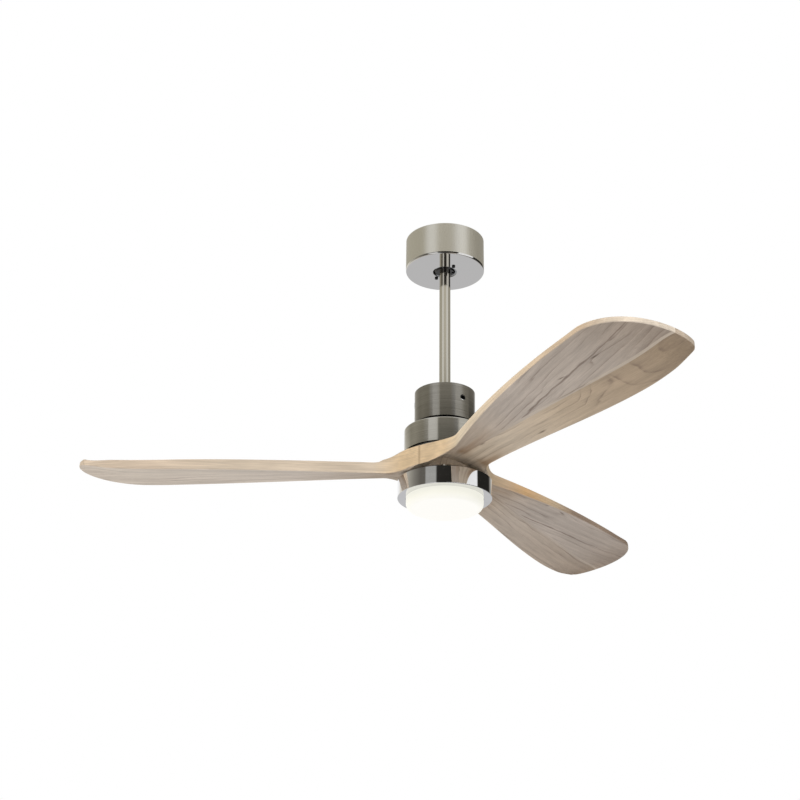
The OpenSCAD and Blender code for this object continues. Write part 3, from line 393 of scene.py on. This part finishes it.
def face_tone(tree, planks, cloud, late, warmth, painted_sheen):
    """The grey-washed faces, with a clearer strip, painted brown shade near the hub, a painted sheen
    that pales them towards the tip, and growth lines.
    """
    grey = add(tree, "ValToRGB", [planks.out], stops=GREY_WASH)
    olive = add(tree, "ValToRGB", [planks.out], stops=OLIVE_WASH)
    tone = stain(tree, grey, olive, planks.trail, warmth)
    # Painted sheen: the faces are painted paler towards the tip, most of all on blade_1
    pale = add(tree, "MapRange", {
        "Value": planks.out, "From Min": 0.35, "From Max": 0.85,
        "To Min": painted_sheen * 0.4, "To Max": painted_sheen})
    tone = add(tree, "MixRGB", [pale, tone, "#DDD2C4"])
    clear = add(tree, "MapRange", {
        "Value": planks.out, "From Min": 0.2, "From Max": 0.8, "To Max": mix(0.2, 0.75, warmth)})
    tone = stain(tree, tone, "#D0C3B2", planks.strip, clear)
    # Painted shade near the hub, broken into patches by the clouds
    painted_hub_shade = add(tree, "ValToRGB", [planks.out], stops=HUB_PAINTED_SHADE)
    hub_shade_strength = add(tree, "MapRange", {
        "Value": cloud, "From Min": 0.40, "From Max": 0.60, "To Min": 0.15, "To Max": 0.9})
    tone = stain(tree, tone, "#84684A", painted_hub_shade, hub_shade_strength)
    return stain(tree, tone, "#6B574A", late, 0.6)


def swept(tree, tone, patterns):
    """A tone that patterns darken and lighten, each between two limits."""
    sweeps = [add(tree, "MapRange", {
        "Value": pattern, "From Min": 0.3, "From Max": 0.7, "To Min": low, "To Max": high})
        for pattern, low, high in patterns]
    shade = sweeps[0]
    for sweep in sweeps[1:]:
        shade = add(tree, "Math", [shade, sweep], operation="MULTIPLY")
    return add(tree, "VectorMath", {0: tone, "Scale": shade}, operation="SCALE")


def pale_ash(name, angle, offset, warmth, painted_sheen, lead_edge, knots):
    """Pale open-grained hardwood in glued planks, washed grey and sanded back along its edges: taupe
    faces with brown growth lines and drawn-out knots, and straw-coloured edges. Warmth is how far the
    trailing plank turns olive and brown towards the tip, the argument after it is a painted sheen, how
    far the faces are painted paler there, and lead_edge has the leading edge's shades by how far out
    they are."""
    made, tree, shader, place = new_finish(name, IOR=1.45)
    blade = add(tree, "VectorRotate", {"Vector": place, "Angle": -angle}, rotation_type="Z_AXIS")
    planks = lay_planks(tree, blade, offset)
    edge = add(tree, "Attribute", attribute_name="sanded", out="Fac")
    inside = add(tree, "Math", [1.0, edge], operation="SUBTRACT")
    # Fibre and pores along the grain: 0.3 mm wide, drawn at 0.7 to 0.9 mm so that they show
    fibre = streaks(tree, planks.grain, (45 * MM, 0.9 * MM, 0.9 * MM), 4.0)
    pores = streaks(tree, planks.grain, (16 * MM, 0.7 * MM, 0.7 * MM), 2.0)
    pore = add(tree, "MapRange", {"Value": pores, "From Min": 0.62, "From Max": 0.72})
    pore = add(tree, "Math", [pore, inside], operation="MULTIPLY")
    # Lines along the edges, and broader bands and clouds in all of the wood
    edge_lines = streaks(tree, blade, (60 * MM, 60 * MM, 1.6 * MM))
    bands = streaks(tree, planks.grain, (260 * MM, 9 * MM, 12 * MM), 2.0)
    cloud = streaks(tree, planks.grain, (150 * MM, 30 * MM, 40 * MM))
    # Faces are grey-washed, and edges are sanded back to bare wood
    dark, bend = knot_marks(tree, blade, knots)
    late = growth_lines(tree, planks, blade, bend, warmth)
    bare = add(tree, "MixRGB", [
        planks.trail, add(tree, "ValToRGB", [planks.out], stops=lead_edge),
        add(tree, "ValToRGB", [planks.out], stops=TRAIL_EDGE_BARE)])
    tone = add(tree, "MixRGB", [edge, face_tone(tree, planks, cloud, late, warmth, painted_sheen), bare])
    # Every part is streaked by its fibre, with open pores, dark knots and a line at the joints
    thread = add(tree, "Mix", {"Factor": edge, "A": fibre, "B": edge_lines}, data_type="FLOAT")
    tone = swept(tree, tone, [(thread, 0.87, 1.11), (bands, 0.90, 1.09), (cloud, 0.90, 1.10)])
    tone = stain(tree, tone, "#5E4E42", pore, 0.25)
    dark = add(tree, "Math", [dark, inside], operation="MULTIPLY")
    tone = stain(tree, tone, "#4E3D2E", dark, 0.85)
    glue = add(tree, "Attribute", attribute_name="joint", out="Fac")
    tone = stain(tree, tone, "#5A4330", glue, 0.35)
    relief = add(tree, "Math", [pore, -1.2, late], operation="MULTIPLY_ADD")
    feed(tree, shader, {
        "Base Color": tone,
        "Roughness": add(tree, "MapRange", {"Value": late, "To Min": 0.58, "To Max": 0.46}),
        "Normal": add(tree, "Bump", {"Height": relief, "Strength": 0.25, "Distance": 0.06 * MM})})
    return made


# ---------------------------------------------------------------- blades

# A blade lies along X in its own frame, with its trailing edge at +Y. It is a third of the hub,
# a neck, a wing and a rounded tip.
HUB_R = 79 * MM
BORE_R = 17 * MM
BOSS_R = 62 * MM                        # flat middle of the hub's underside
BOSS_STEP = 0.8 * MM                    # run of the step from it into the hub's hollow
TIP_R = 659.5 * MM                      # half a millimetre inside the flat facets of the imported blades
SEAM_TRAIL = math.radians(52.5)         # joint with the next blade, seen from the blade's axis
SEAM_LEAD = SEAM_TRAIL - math.radians(120)
JOINT = 0.3 * MM
WAIST = 112 * MM                        # distance out to the narrowest chord
LEAD_END = TIP_R - 92 * MM
TRAIL_END = TIP_R - 10 * MM
LEAD_RUN, TRAIL_RUN = LEAD_END - WAIST, TRAIL_END - WAIST
ROOT_LEAD, ROOT_TRAIL = 48 * MM, 26 * MM
TIP_LEAD, TIP_TRAIL = 127 * MM, 30 * MM
FLOW = 27 * MM                          # run of the outline out of the hub

ROOT_PITCH, TIP_PITCH = math.radians(14), math.radians(9.4)
ROOT_T, LEAD_T, TRAIL_T = 20.6 * MM, 8.5 * MM, 14.5 * MM
END_T = 9.5 * MM                        # thickness at the rounded corner
HOLLOW = 3 * MM                         # how deep the underside is carved
ROOT_RISE = 0.4 * MM
FALL, FALL_POWER = 7.8 * MM, 1.6        # fall of the wing's middle out to the tip
LIFT, LIFT_START, LIFT_RUN = 8 * MM, LEAD_END - 60 * MM, 150 * MM  # its last part turns up again
ARRIS, SEAM_ARRIS = 1.5 * MM, 0.5 * MM  # rounding of the wing's edges and of the joints' edges
ARRIS_SHARE = 0.3                       # most of a short chord that its rounding takes up
WORN_MARGIN = 0.6 * MM                  # how far the sanding runs on from an edge into the face

OUT_END = 1.2                           # the tip's place, in leading edge lengths past the waist
THIN_START, THIN_RUN = 1.05, 0.13       # where the trailing edge thins, in the same lengths
NECK_START = 0.1                        # share of the neck before its underside changes
SCOOP_EDGE = 0.3                        # share of the chord over which the hub's hollow starts
TOP_START, TOP_RUN = 0.24, 1.17         # in necks from the hub, where the top changes to wing
TIP_START = 0.82                        # share of the trailing edge before the tip's ribs
CORNER_START = 0.985                    # share of it before the rounded corner
TIP_SHARE = 0.93                        # share of the tip's edge before the rounded corner
CORNER_REACH = 0.46                     # how nearly the corner's ribs close up

ARC_STEPS = 4                           # facets of a rounded edge
FACE_STEPS = 22                         # facets across a face
RIB_COUNTS = (("neck", 24), ("wing", 60), ("tip", 24), ("corner", 6))
CREASE = math.radians(35)               # edges sharper than this stay sharp
HUB_LOW, HUB_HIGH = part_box("hub_plate")[1].z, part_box("blade_1")[1].z
PITCH_LEVEL = HUB_LOW + 11.3 * MM       # level that the wing's pitch turns about


def smooth(t):
    t = min(max(t, 0.0), 1.0)
    return t * t * (3 - 2 * t)


def polar(radius, angle):
    return Vector((radius * math.cos(angle), radius * math.sin(angle)))


def bezier(points, t):
    a, b, c, d = points
    return a * (1 - t) ** 3 + b * (3 * t * (1 - t) ** 2) + c * (3 * t * t * (1 - t)) + d * t ** 3


def joint_turn(radius):
    return math.asin(JOINT / 2 / radius)


# The outline's five curves, in plan
LEAD_ROOT = polar(HUB_R, SEAM_LEAD + joint_turn(HUB_R))
TRAIL_ROOT = polar(HUB_R, SEAM_TRAIL - joint_turn(HUB_R))
LEAD_NECK = [
    LEAD_ROOT, LEAD_ROOT + polar(FLOW, SEAM_LEAD + math.pi / 2),
    Vector((WAIST - FLOW, 5 * MM - ROOT_LEAD)), Vector((WAIST, -ROOT_LEAD))]
TRAIL_NECK = [
    TRAIL_ROOT, TRAIL_ROOT + polar(FLOW, SEAM_TRAIL - math.pi / 2),
    Vector((WAIST - FLOW, ROOT_TRAIL + 1 * MM)), Vector((WAIST, ROOT_TRAIL))]
LEAD_EDGE = [
    Vector((WAIST, -ROOT_LEAD)), Vector((WAIST + LEAD_RUN / 3, -ROOT_LEAD - 41 * MM)),
    Vector((WAIST + LEAD_RUN * 2 / 3, 9.6 * MM - TIP_LEAD)), Vector((LEAD_END, -TIP_LEAD))]
TRAIL_EDGE = [
    Vector((WAIST, ROOT_TRAIL)), Vector((WAIST + TRAIL_RUN / 3, ROOT_TRAIL + 3.5 * MM)),
    Vector((WAIST + TRAIL_RUN * 2 / 3, TIP_TRAIL + 34 * MM)), Vector((TRAIL_END, TIP_TRAIL))]
TIP_EDGE = [
    Vector((LEAD_END, -TIP_LEAD)), Vector((LEAD_END + 99 * MM, 8 * MM - TIP_LEAD)),
    Vector((TRAIL_END + 26 * MM, TIP_TRAIL - 26 * MM)), Vector((TRAIL_END, TIP_TRAIL))]


def corner_spot(t, v):
    """Place in the rounded corner, whose ribs shrink from the tip's last one towards the corner."""
    first, last, corner = spot("tip", 1.0, 0.0), spot("tip", 1.0, 1.0), TIP_EDGE[3]
    reach = t * CORNER_REACH
    lead = mix(mix(first, corner, reach), mix(corner, last, reach), reach)
    trail = mix(mix(last, corner, reach), mix(corner, first, reach), reach)
    return mix(lead, trail, v)


def spot(part, t, v):
    """Place on the blade's plan: t along one of its parts, v from leading to trailing edge."""
    if part == "hub":
        turn = joint_turn(t)
        return polar(t, mix(SEAM_LEAD + turn, SEAM_TRAIL - turn, v))
    if part == "neck":
        chord = mix(bezier(LEAD_NECK, t), bezier(TRAIL_NECK, t), v)
        return chord + (1 - t) * (spot("hub", HUB_R, v) - mix(LEAD_ROOT, TRAIL_ROOT, v))
    if part == "wing":
        return mix(bezier(LEAD_EDGE, t), bezier(TRAIL_EDGE, t * TIP_START), v)
    if part == "tip":
        trail = bezier(TRAIL_EDGE, mix(TIP_START, CORNER_START, t))
        return mix(bezier(TIP_EDGE, t * TIP_SHARE), trail, v)
    return corner_spot(t, v)


def wing_levels(place, v):
    """Underside and top of the wing at a place, both below or above its pitched middle."""
    out = min(max((place.x - WAIST) / LEAD_RUN, 0.0), OUT_END)
    left = max(1 - out, 0.0)
    pitch = mix(TIP_PITCH, ROOT_PITCH, left ** 3)
    lift = LIFT * max((place.x - LIFT_START) / LIFT_RUN, 0.0) ** 2
    middle = ROOT_RISE - FALL * out ** FALL_POWER + lift - place.y * math.tan(pitch)
    lead = mix(LEAD_T, ROOT_T, left ** 2)
    trail = mix(ROOT_T, TRAIL_T, (out / OUT_END) ** 3)
    trail = mix(trail, END_T, smooth((out - THIN_START) / THIN_RUN))
    half, belly = mix(lead, trail, v) / 2, HOLLOW * 4 * v * (1 - v)
    return PITCH_LEVEL + middle - half + belly, PITCH_LEVEL + middle + half + belly


def top_share(part, t):
    """How far the top has changed from hub to wing, which runs on past the neck."""
    if part in ("tip", "corner"):
        return 1.0
    run = 0.0 if part == "hub" else t
    if part == "wing":
        run = 1 + (bezier(LEAD_EDGE, t).x - WAIST) / (WAIST - HUB_R)
    return smooth((run - TOP_START) / TOP_RUN)


def levels(part, t, v):
    """Underside and top of the blade, which turns from flat hub to pitched wing in the neck."""
    low, high = wing_levels(spot(part, t, v), v)
    share = {"hub": 0.0, "neck": smooth((t - NECK_START) / (1 - NECK_START))}.get(part, 1.0)
    scoop = 1 - (1 - share) * (1 - smooth(v / SCOOP_EDGE) * smooth((1 - v) / SCOOP_EDGE))
    if part == "hub" and t <= BOSS_R:
        scoop = 0.0
    return mix(HUB_LOW, low, scoop), mix(HUB_HIGH, high, top_share(part, t))


def rib_side(radius, chord):
    """Half of a rib, from leading to trailing edge: each point's place across the chord, its
    distance from the face, and how far it is sanded."""
    inset = radius / chord
    edge = []
    for k in range(ARC_STEPS + 1):
        turn, past = math.pi / 2 * k / ARC_STEPS, (k / ARC_STEPS) ** 2
        edge.append((inset * (1 - math.cos(turn)), radius * (1 - math.sin(turn)), 1.0 - 0.5 * past))
    inset += WORN_MARGIN / chord
    face = [(mix(inset, 1 - inset, k / FACE_STEPS), 0.0, 0.0) for k in range(FACE_STEPS + 1)]
    return edge + face + [(1 - v, rise, bare) for v, rise, bare in reversed(edge)]


def rib(part, t):
    """Points round one rib, each with how far it is sanded and whether it is at a joint."""
    chord = (spot(part, t, 1.0) - spot(part, t, 0.0)).length
    share = {"hub": 0.0, "neck": t}.get(part, 1.0)
    radius = min(chord * ARRIS_SHARE, mix(SEAM_ARRIS, ARRIS, share))
    side = rib_side(radius, chord)
    at_end = part == "corner" and t == 1
    points = []
    for top in (False, True):
        for v, rise, bare in (reversed(side) if top else side):
            place = spot(part, t, v)
            low, high = levels(part, t, v)
            point = (place.x, place.y, high - rise if top else low + rise)
            points.append((point, 1.0 if at_end else bare, float(part == "hub" and bare > 0)))
    return points


def blade_ribs():
    ribs = [rib("hub", radius) for radius in (
        BORE_R, BOSS_R / 2, BOSS_R * 0.8, BOSS_R, BOSS_R + BOSS_STEP, (BOSS_R + HUB_R) / 2, HUB_R)]
    for part, count in RIB_COUNTS:
        ribs += [rib(part, k / count) for k in range(1, count + 1)]
    return ribs


def build_blade(name, angle, finish):
    """One carved blade with its third of the hub, as a loft over its ribs."""
    ribs = blade_ribs()
    loop = len(ribs[0])
    last = (len(ribs) - 1) * loop
    turn = Matrix.Rotation(angle, 3, "Z")
    points = [turn @ Vector(place) for row in ribs for place, bare, joint in row]
    faces = []
    for start in range(0, last, loop):
        for j in range(loop):
            k = (j + 1) % loop
            faces.append((start + j, start + loop + j, start + loop + k, start + k))
    for j in range(loop // 2 - 1):
        faces.append((j, j + 1, loop - 2 - j, loop - 1 - j))
        faces.append((last + j, last + loop - 1 - j, last + loop - 2 - j, last + j + 1))
    mesh = bpy.data.meshes.new(name)
    mesh.from_pydata(points, [], faces)
    for attribute, column in (("sanded", 1), ("joint", 2)):
        values = mesh.attributes.new(attribute, "FLOAT", "POINT")
        values.data.foreach_set("value", [point[column] for row in ribs for point in row])
    mesh.shade_smooth()
    mesh.set_sharp_from_angle(angle=CREASE)
    mesh.materials.append(finish)
    blade = bpy.data.objects.new(name, mesh)
    bpy.context.scene.collection.objects.link(blade)
    return blade


STRAW_EDGE = [(0.12, "#D6BF9E"), (0.20, "#E9DAC3"), (0.60, "#E6D2B8"), (0.78, "#D5C0A6"),
              (0.88, "#CFBBA3"), (0.97, "#F2E6D6")]
AMBER_EDGE = [(0.12, "#D6BF9E"), (0.22, "#DDC1A0"), (0.30, "#E1B988"), (0.44, "#DAC3A4"),
              (0.54, "#A6917F"), (0.86, "#A6917F"), (0.95, "#E0D2C0")]
# Each blade's direction, place in the log, warmth of its planks, painted sheen that pales its faces
# towards the tip, shades of its leading edge, and knots (x, y, size)
BLADES = [
    ("blade_1", 182.3, 0.31, 0.0, 0.8, STRAW_EDGE,
     [(582 * MM, -10 * MM, 2.4 * MM), (330 * MM, 20 * MM, 2 * MM)]),
    ("blade_2", 302.3, 1.70, 1.0, 0.15, STRAW_EDGE,
     [(528 * MM, -64 * MM, 2.6 * MM), (435 * MM, -59 * MM, 2 * MM), (272 * MM, 21 * MM, 2.4 * MM),
      (150 * MM, -18 * MM, 2 * MM)]),
    ("blade_3", 62.3, 3.10, 0.3, 0.0, AMBER_EDGE, [(327 * MM, -88 * MM, 2.4 * MM)]),
]
for node, degrees, offset, warmth, painted_sheen, lead_edge, knots in BLADES:
    angle = math.radians(degrees)
    wood = pale_ash("pale_ash_" + node[-1], angle, offset, warmth, painted_sheen, lead_edge, knots)
    carved = build_blade(node + "_carved", angle, wood)
    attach(carved, "rotor")
    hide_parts(node)

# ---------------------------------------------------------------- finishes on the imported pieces

FINISHES = [
    (satin_nickel(), ["canopy"]),
    # Nickel plate buffed along the tube: a near mirror with very faint lengthwise lines. They are
    # 0.2 mm, drawn at 0.8 mm so that they show
    (metal("polished_nickel", (0.8 * MM, 0.8 * MM, 60 * MM), 3.0, ("#BEBAB0", "#C7C4BA"),
           (0.08, 0.14), 0.03, 0.01 * MM), ["downrod"]),
    # Nickel plate brushed on the lathe, dark on the cover and paler on the motor: fine lines run
    # round the shells. The lines are 0.3 mm, drawn at 1.2 mm so that they show
    (metal("brushed_nickel_dark", (90 * MM, 90 * MM, 1.2 * MM), 5.0, ("#87847D", "#9B9891"),
           (0.09, 0.15), 0.08, 0.03 * MM), ["coupling_cover"]),
    (metal("brushed_nickel", (90 * MM, 90 * MM, 1.2 * MM), 5.0, ("#B2AFA7", "#C0BDB5"),
           (0.09, 0.15), 0.08, 0.03 * MM), ["motor_housing"]),
    # Chrome plate over polished steel: a cold mirror, with a faint haze of wiping marks
    (metal("mirror_chrome", (40 * MM, 40 * MM, 14 * MM), 3.0, ("#E2E2E3", "#E9E9EA"),
           (0.02, 0.05), 0.01, 0.01 * MM), ["light_housing"]),
    (opal_acrylic(), ["diffuser"]),
    # Pressed steel with bright zinc plate: a pale, slightly mottled grey with a soft shine
    (metal("zinc_plate", (5 * MM, 5 * MM, 5 * MM), 4.0, ("#A9ACB0", "#C0C3C4"),
           (0.32, 0.46), 0.08, 0.05 * MM),
     ["hanger_bracket", "coupling_yoke", "hub_plate", "light_plate"]),
    # Zinc-plated steel screws: brighter than the sheet, with fine marks
    (metal("zinc_screw", (0.6 * MM, 0.6 * MM, 0.6 * MM), 3.0, ("#BDBDBB", "#D4D4D1"),
           (0.18, 0.30), 0.05, 0.02 * MM),
     ["module_screws", "housing_screws", "yoke_clip", "bell_screws", "blade_bolts", "shaft_nuts",
      "light_screws", "board_screws", "lens_ring_screws"]),
    # Blackened steel screws: near black, with a dull oily shine
    (metal("black_oxide", (1.5 * MM, 1.5 * MM, 1.5 * MM), 3.0, ("#1C1C1D", "#39393A"),
           (0.22, 0.36), 0.06, 0.02 * MM), ["canopy_screws", "yoke_set_screws"]),
    (chamfered_screw(), ["cover_screws"]),
    # Bright steel bar: fine level lines, which run round the shaft and along the pins
    (metal("turned_steel", (60 * MM, 60 * MM, 0.4 * MM), 3.0, ("#A8A9AA", "#BDBEBF"),
           (0.20, 0.32), 0.08, 0.02 * MM), ["ball_pin", "yoke_pin", "motor_shaft"]),
    # Hardened bearing steel, ground and lapped: a clean cold mirror
    (metal("ground_steel", (3 * MM, 3 * MM, 3 * MM), 3.0, ("#C6C8CA", "#D2D4D6"),
           (0.07, 0.13), 0.01, 0.01 * MM),
     ["bearing_inner_rings", "bearing_outer_rings", "bearing_balls"]),
    # Turned or pressed brass: warm yellow, with a light brown film in its low spots
    (metal("brass", (2 * MM, 2 * MM, 2 * MM), 3.0, ("#C7A458", "#DDBE74"),
           (0.22, 0.36), 0.05, 0.02 * MM), ["bearing_cages", "board_standoffs"]),
    # Die-cast aluminium, left raw: light grey with a fine orange-peel skin from the die
    (metal("cast_aluminium", (1.4 * MM, 1.4 * MM, 1.4 * MM), 4.0, ("#A5A7A9", "#BCBEC0"),
           (0.42, 0.58), 0.20, 0.08 * MM), ["rotor_bell", "rotor_flange"]),
    (core_steel(), ["stator_core"]),
    (enamelled_copper(), ["stator_windings"]),
    (lead_insulation(), ["power_leads"]),
    (led_phosphor(), ["led_chips"]),
    # Black nylon from a polished mould: an even black with a wet gloss
    (non_metal("glossy_nylon", ("#060607", "#0B0B0C"), (0.10, 0.16), 3 * MM, 0.04),
     ["hanger_ball"]),
    # White ABS from a spark-eroded mould: its fine texture of 0.1 mm is drawn at 0.8 mm to show
    (non_metal("white_abs", ("#DCDCD8", "#E4E4E0"), (0.42, 0.52), 0.8 * MM, 0.10),
     ["receiver", "led_driver", "lens_ring"]),
    # Moulded nylon without dye: waxy cream
    (non_metal("natural_nylon", ("#D2CBB2", "#DDD7C2"), (0.38, 0.50), 1.0 * MM, 0.08),
     ["terminal_block", "light_connector"]),
    # Moulded rubber: dull near black
    (non_metal("black_rubber", ("#141414", "#1D1D1D"), (0.70, 0.82), 0.6 * MM, 0.20),
     ["rod_grommet"]),
    # Pressed and fired ferrite: dull charcoal with a slightly gritty skin
    (non_metal("ferrite", ("#34353A", "#43444A"), (0.50, 0.65), 0.7 * MM, 0.20), ["rotor_magnets"]),
    # White solder mask printed on a circuit board: smooth, with a soft shine
    (non_metal("solder_mask", ("#E6E8E6", "#F0F1EF"), (0.34, 0.42), 2 * MM, 0.04), ["led_board"]),
]
for finish, dressed in FINISHES:
    for node in dressed:
        for slot in nodes[node].material_slots:
            slot.material = finish

# ---------------------------------------------------------------- studio

FAN_MIDDLE = (0, 0, -0.45)
FLOOR_Z = -4.2
FLOOR_SIZE = 80.0
FADE_START, FADE_END = 1.0, 9.0         # distance over which the floor fades into the backdrop

# Bands that metal mirrors, as (degrees, shade): 0 is towards the camera and 90 is to its right.
# A level look meets dark walls between white soft boxes, and a steeper one meets lighter walls.
LEVEL_BANDS = [
    (-146, "#FFFFFF"), (-140, "#EDE9DF"), (-124, "#EAE6DA"), (-110, "#C0BCAF"), (-99, "#AFABA0"),
    (-88, "#9A968B"), (-79, "#87837A"), (-61, "#66625B"), (-49, "#66625B"), (-46, "#A9A8A4"),
    (-22, "#A7A6A2"), (-19, "#2E2C29"), (36, "#262421"), (40, "#F4F4F2"), (84, "#FFFFFF"),
    (87, "#262522"), (134, "#262522"), (142, "#8A8781"), (160, "#D8D4CB")]
MIDDLE_BANDS = [
    (-165, "#FFFFFF"), (-150, "#CFCBC0"), (-112, "#99958A"), (-92, "#AFABA0"), (-70, "#9D998E"),
    (-49, "#9B978D"), (-46, "#FFFFFF"), (-21, "#FFFFFF"), (-18, "#62605A"), (37, "#504E49"),
    (43, "#D2D0CB"), (72, "#D2D0CB"), (80, "#A8A59E"), (98, "#A8A59E"), (106, "#55534E"),
    (140, "#55534E"), (165, "#FFFFFF")]
UPPER_BANDS = [
    (-172, "#FFFFFF"), (-160, "#BFBBAF"), (-64, "#CECABD"), (-54, "#FFFFFF"), (-30, "#FFFFFF"),
    (-20, "#E0DCD2"), (22, "#E0DCD2"), (34, "#FFFFFF"), (62, "#FFFFFF"), (76, "#BDB9AF"),
    (160, "#B0ACA3"), (174, "#FFFFFF")]
FLOOR_BANDS = [
    (-150, "#CACACB"), (-140, "#EDE9DF"), (-99, "#AFABA0"), (-79, "#87837A"), (-61, "#66625B"),
    (-49, "#66625B"), (-46, "#FFFFFF"), (-22, "#FFFFFF"), (-19, "#3B3935"), (36, "#2C2A27"),
    (40, "#FFFFFF"), (84, "#FFFFFF"), (87, "#262522"), (136, "#262522"), (150, "#CACACB")]
# Heights of a look between which each band changes to the next: 0 is level, 1 is straight up
MIDDLE_RISE, UPPER_RISE, CEILING_RISE = (0.368, 0.380), (0.394, 0.416), (0.72, 0.9)
FLOOR_DIP = (0.02, -0.06)


def room_bands(tree, way, shades):
    """Upright bands of a room, by the direction of a place or of a look, seen from above."""
    x, y = (add(tree, "SeparateXYZ", [way], out=axis) for axis in "XY")
    front = add(tree, "Math", [y, -1.0], operation="MULTIPLY")
    turn = add(tree, "Math", [x, front], operation="ARCTAN2")
    turn = add(tree, "MapRange", {"Value": turn, "From Min": -math.pi, "From Max": math.pi})
    stops = [((angle + 180) / 360, shade) for angle, shade in shades]
    return add(tree, "ValToRGB", [turn], stops=stops)


def make_floor():
    """A pale floor that fades into the white backdrop. Metal mirrors it as the room's bands."""
    mesh = bpy.data.meshes.new("floor")
    half = FLOOR_SIZE / 2
    corners = [(x * half, y * half, FLOOR_Z) for x, y in ((-1, -1), (1, -1), (1, 1), (-1, 1))]
    mesh.from_pydata(corners, [], [(0, 1, 2, 3)])
    floor = bpy.data.objects.new("floor", mesh)
    bpy.context.scene.collection.objects.link(floor)
    made, tree, shader, place = new_finish("floor_paint", Roughness=0.9)
    patches = streaks(tree, place, (0.6, 0.6, 0.6))
    tone, _ = vary(tree, shader, patches, ("#E2E2E6", "#E8E8EB"), (0.85, 0.95), 0.02, 0.2 * MM)
    flat = add(tree, "Mapping", {"Vector": place, "Scale": (1.0, 1.0, 0.0)})
    distance = add(tree, "VectorMath", [flat], operation="LENGTH", out="Value")
    far = add(tree, "MapRange", {
        "Value": distance, "From Min": FADE_START, "From Max": FADE_END, "To Min": 0.35})
    mirrored, seen = (add(tree, "LightPath", out=ray) for ray in ("Is Glossy Ray", "Is Camera Ray"))
    share = add(tree, "Math", [far, seen, mirrored], operation="MULTIPLY_ADD")
    room = room_bands(tree, place, FLOOR_BANDS)
    feed(tree, shader, {
        "Base Color": add(tree, "MixRGB", [share, tone, "#000000"]),
        "Emission Color": add(tree, "MixRGB", [mirrored, "#FFFFFF", room]),
        "Emission Strength": share})
    mesh.materials.append(made)


def light_world():
    """A white backdrop, which polished metal mirrors as a studio: white behind the fan, two tall
    soft boxes in front of it with dim walls between them, and light from above."""
    world = bpy.data.worlds.new("studio")
    bpy.context.scene.world = world
    world.use_nodes = True
    tree = world.node_tree
    way = add(tree, "TexCoord", out="Generated")
    height = add(tree, "SeparateXYZ", [way], out="Z")
    room = room_bands(tree, way, LEVEL_BANDS)
    for (low, high), next_room in (
            (MIDDLE_RISE, room_bands(tree, way, MIDDLE_BANDS)),
            (UPPER_RISE, room_bands(tree, way, UPPER_BANDS)),
            (CEILING_RISE, "#F2F2F4"),
            (FLOOR_DIP, room_bands(tree, way, FLOOR_BANDS))):
        rise = add(tree, "MapRange", {"Value": height, "From Min": low, "From Max": high})
        room = add(tree, "MixRGB", [rise, room, next_room])
    seen = add(tree, "LightPath", out="Is Camera Ray")
    feed(tree, tree.nodes["Background"], {"Color": add(tree, "MixRGB", [seen, room, "#FFFFFF"])})


def add_soft_box(name, place, size, power, tint):
    """A soft area lamp, which metal doesn't mirror: its reflections are the world's soft boxes."""
    data = bpy.data.lights.new(name, "AREA")
    data.shape, data.size, data.energy = "DISK", size, power
    data.color = colour(tint)[:3]
    lamp = bpy.data.objects.new(name, data)
    lamp.location = place
    aim = Vector(FAN_MIDDLE) - Vector(place)
    lamp.rotation_euler = aim.to_track_quat("-Z", "Y").to_euler()
    lamp.visible_glossy = lamp.visible_camera = False
    bpy.context.scene.collection.objects.link(lamp)


make_floor()
light_world()
add_soft_box("key", (-1.6, -4.0, 0.9), 2.4, 90, "#FFF6EA")
add_soft_box("fill", (-0.7, 0.1, -2.1), 1.6, 9.6, "#FFFBF4")
bpy.context.scene.view_settings.view_transform = "Standard"
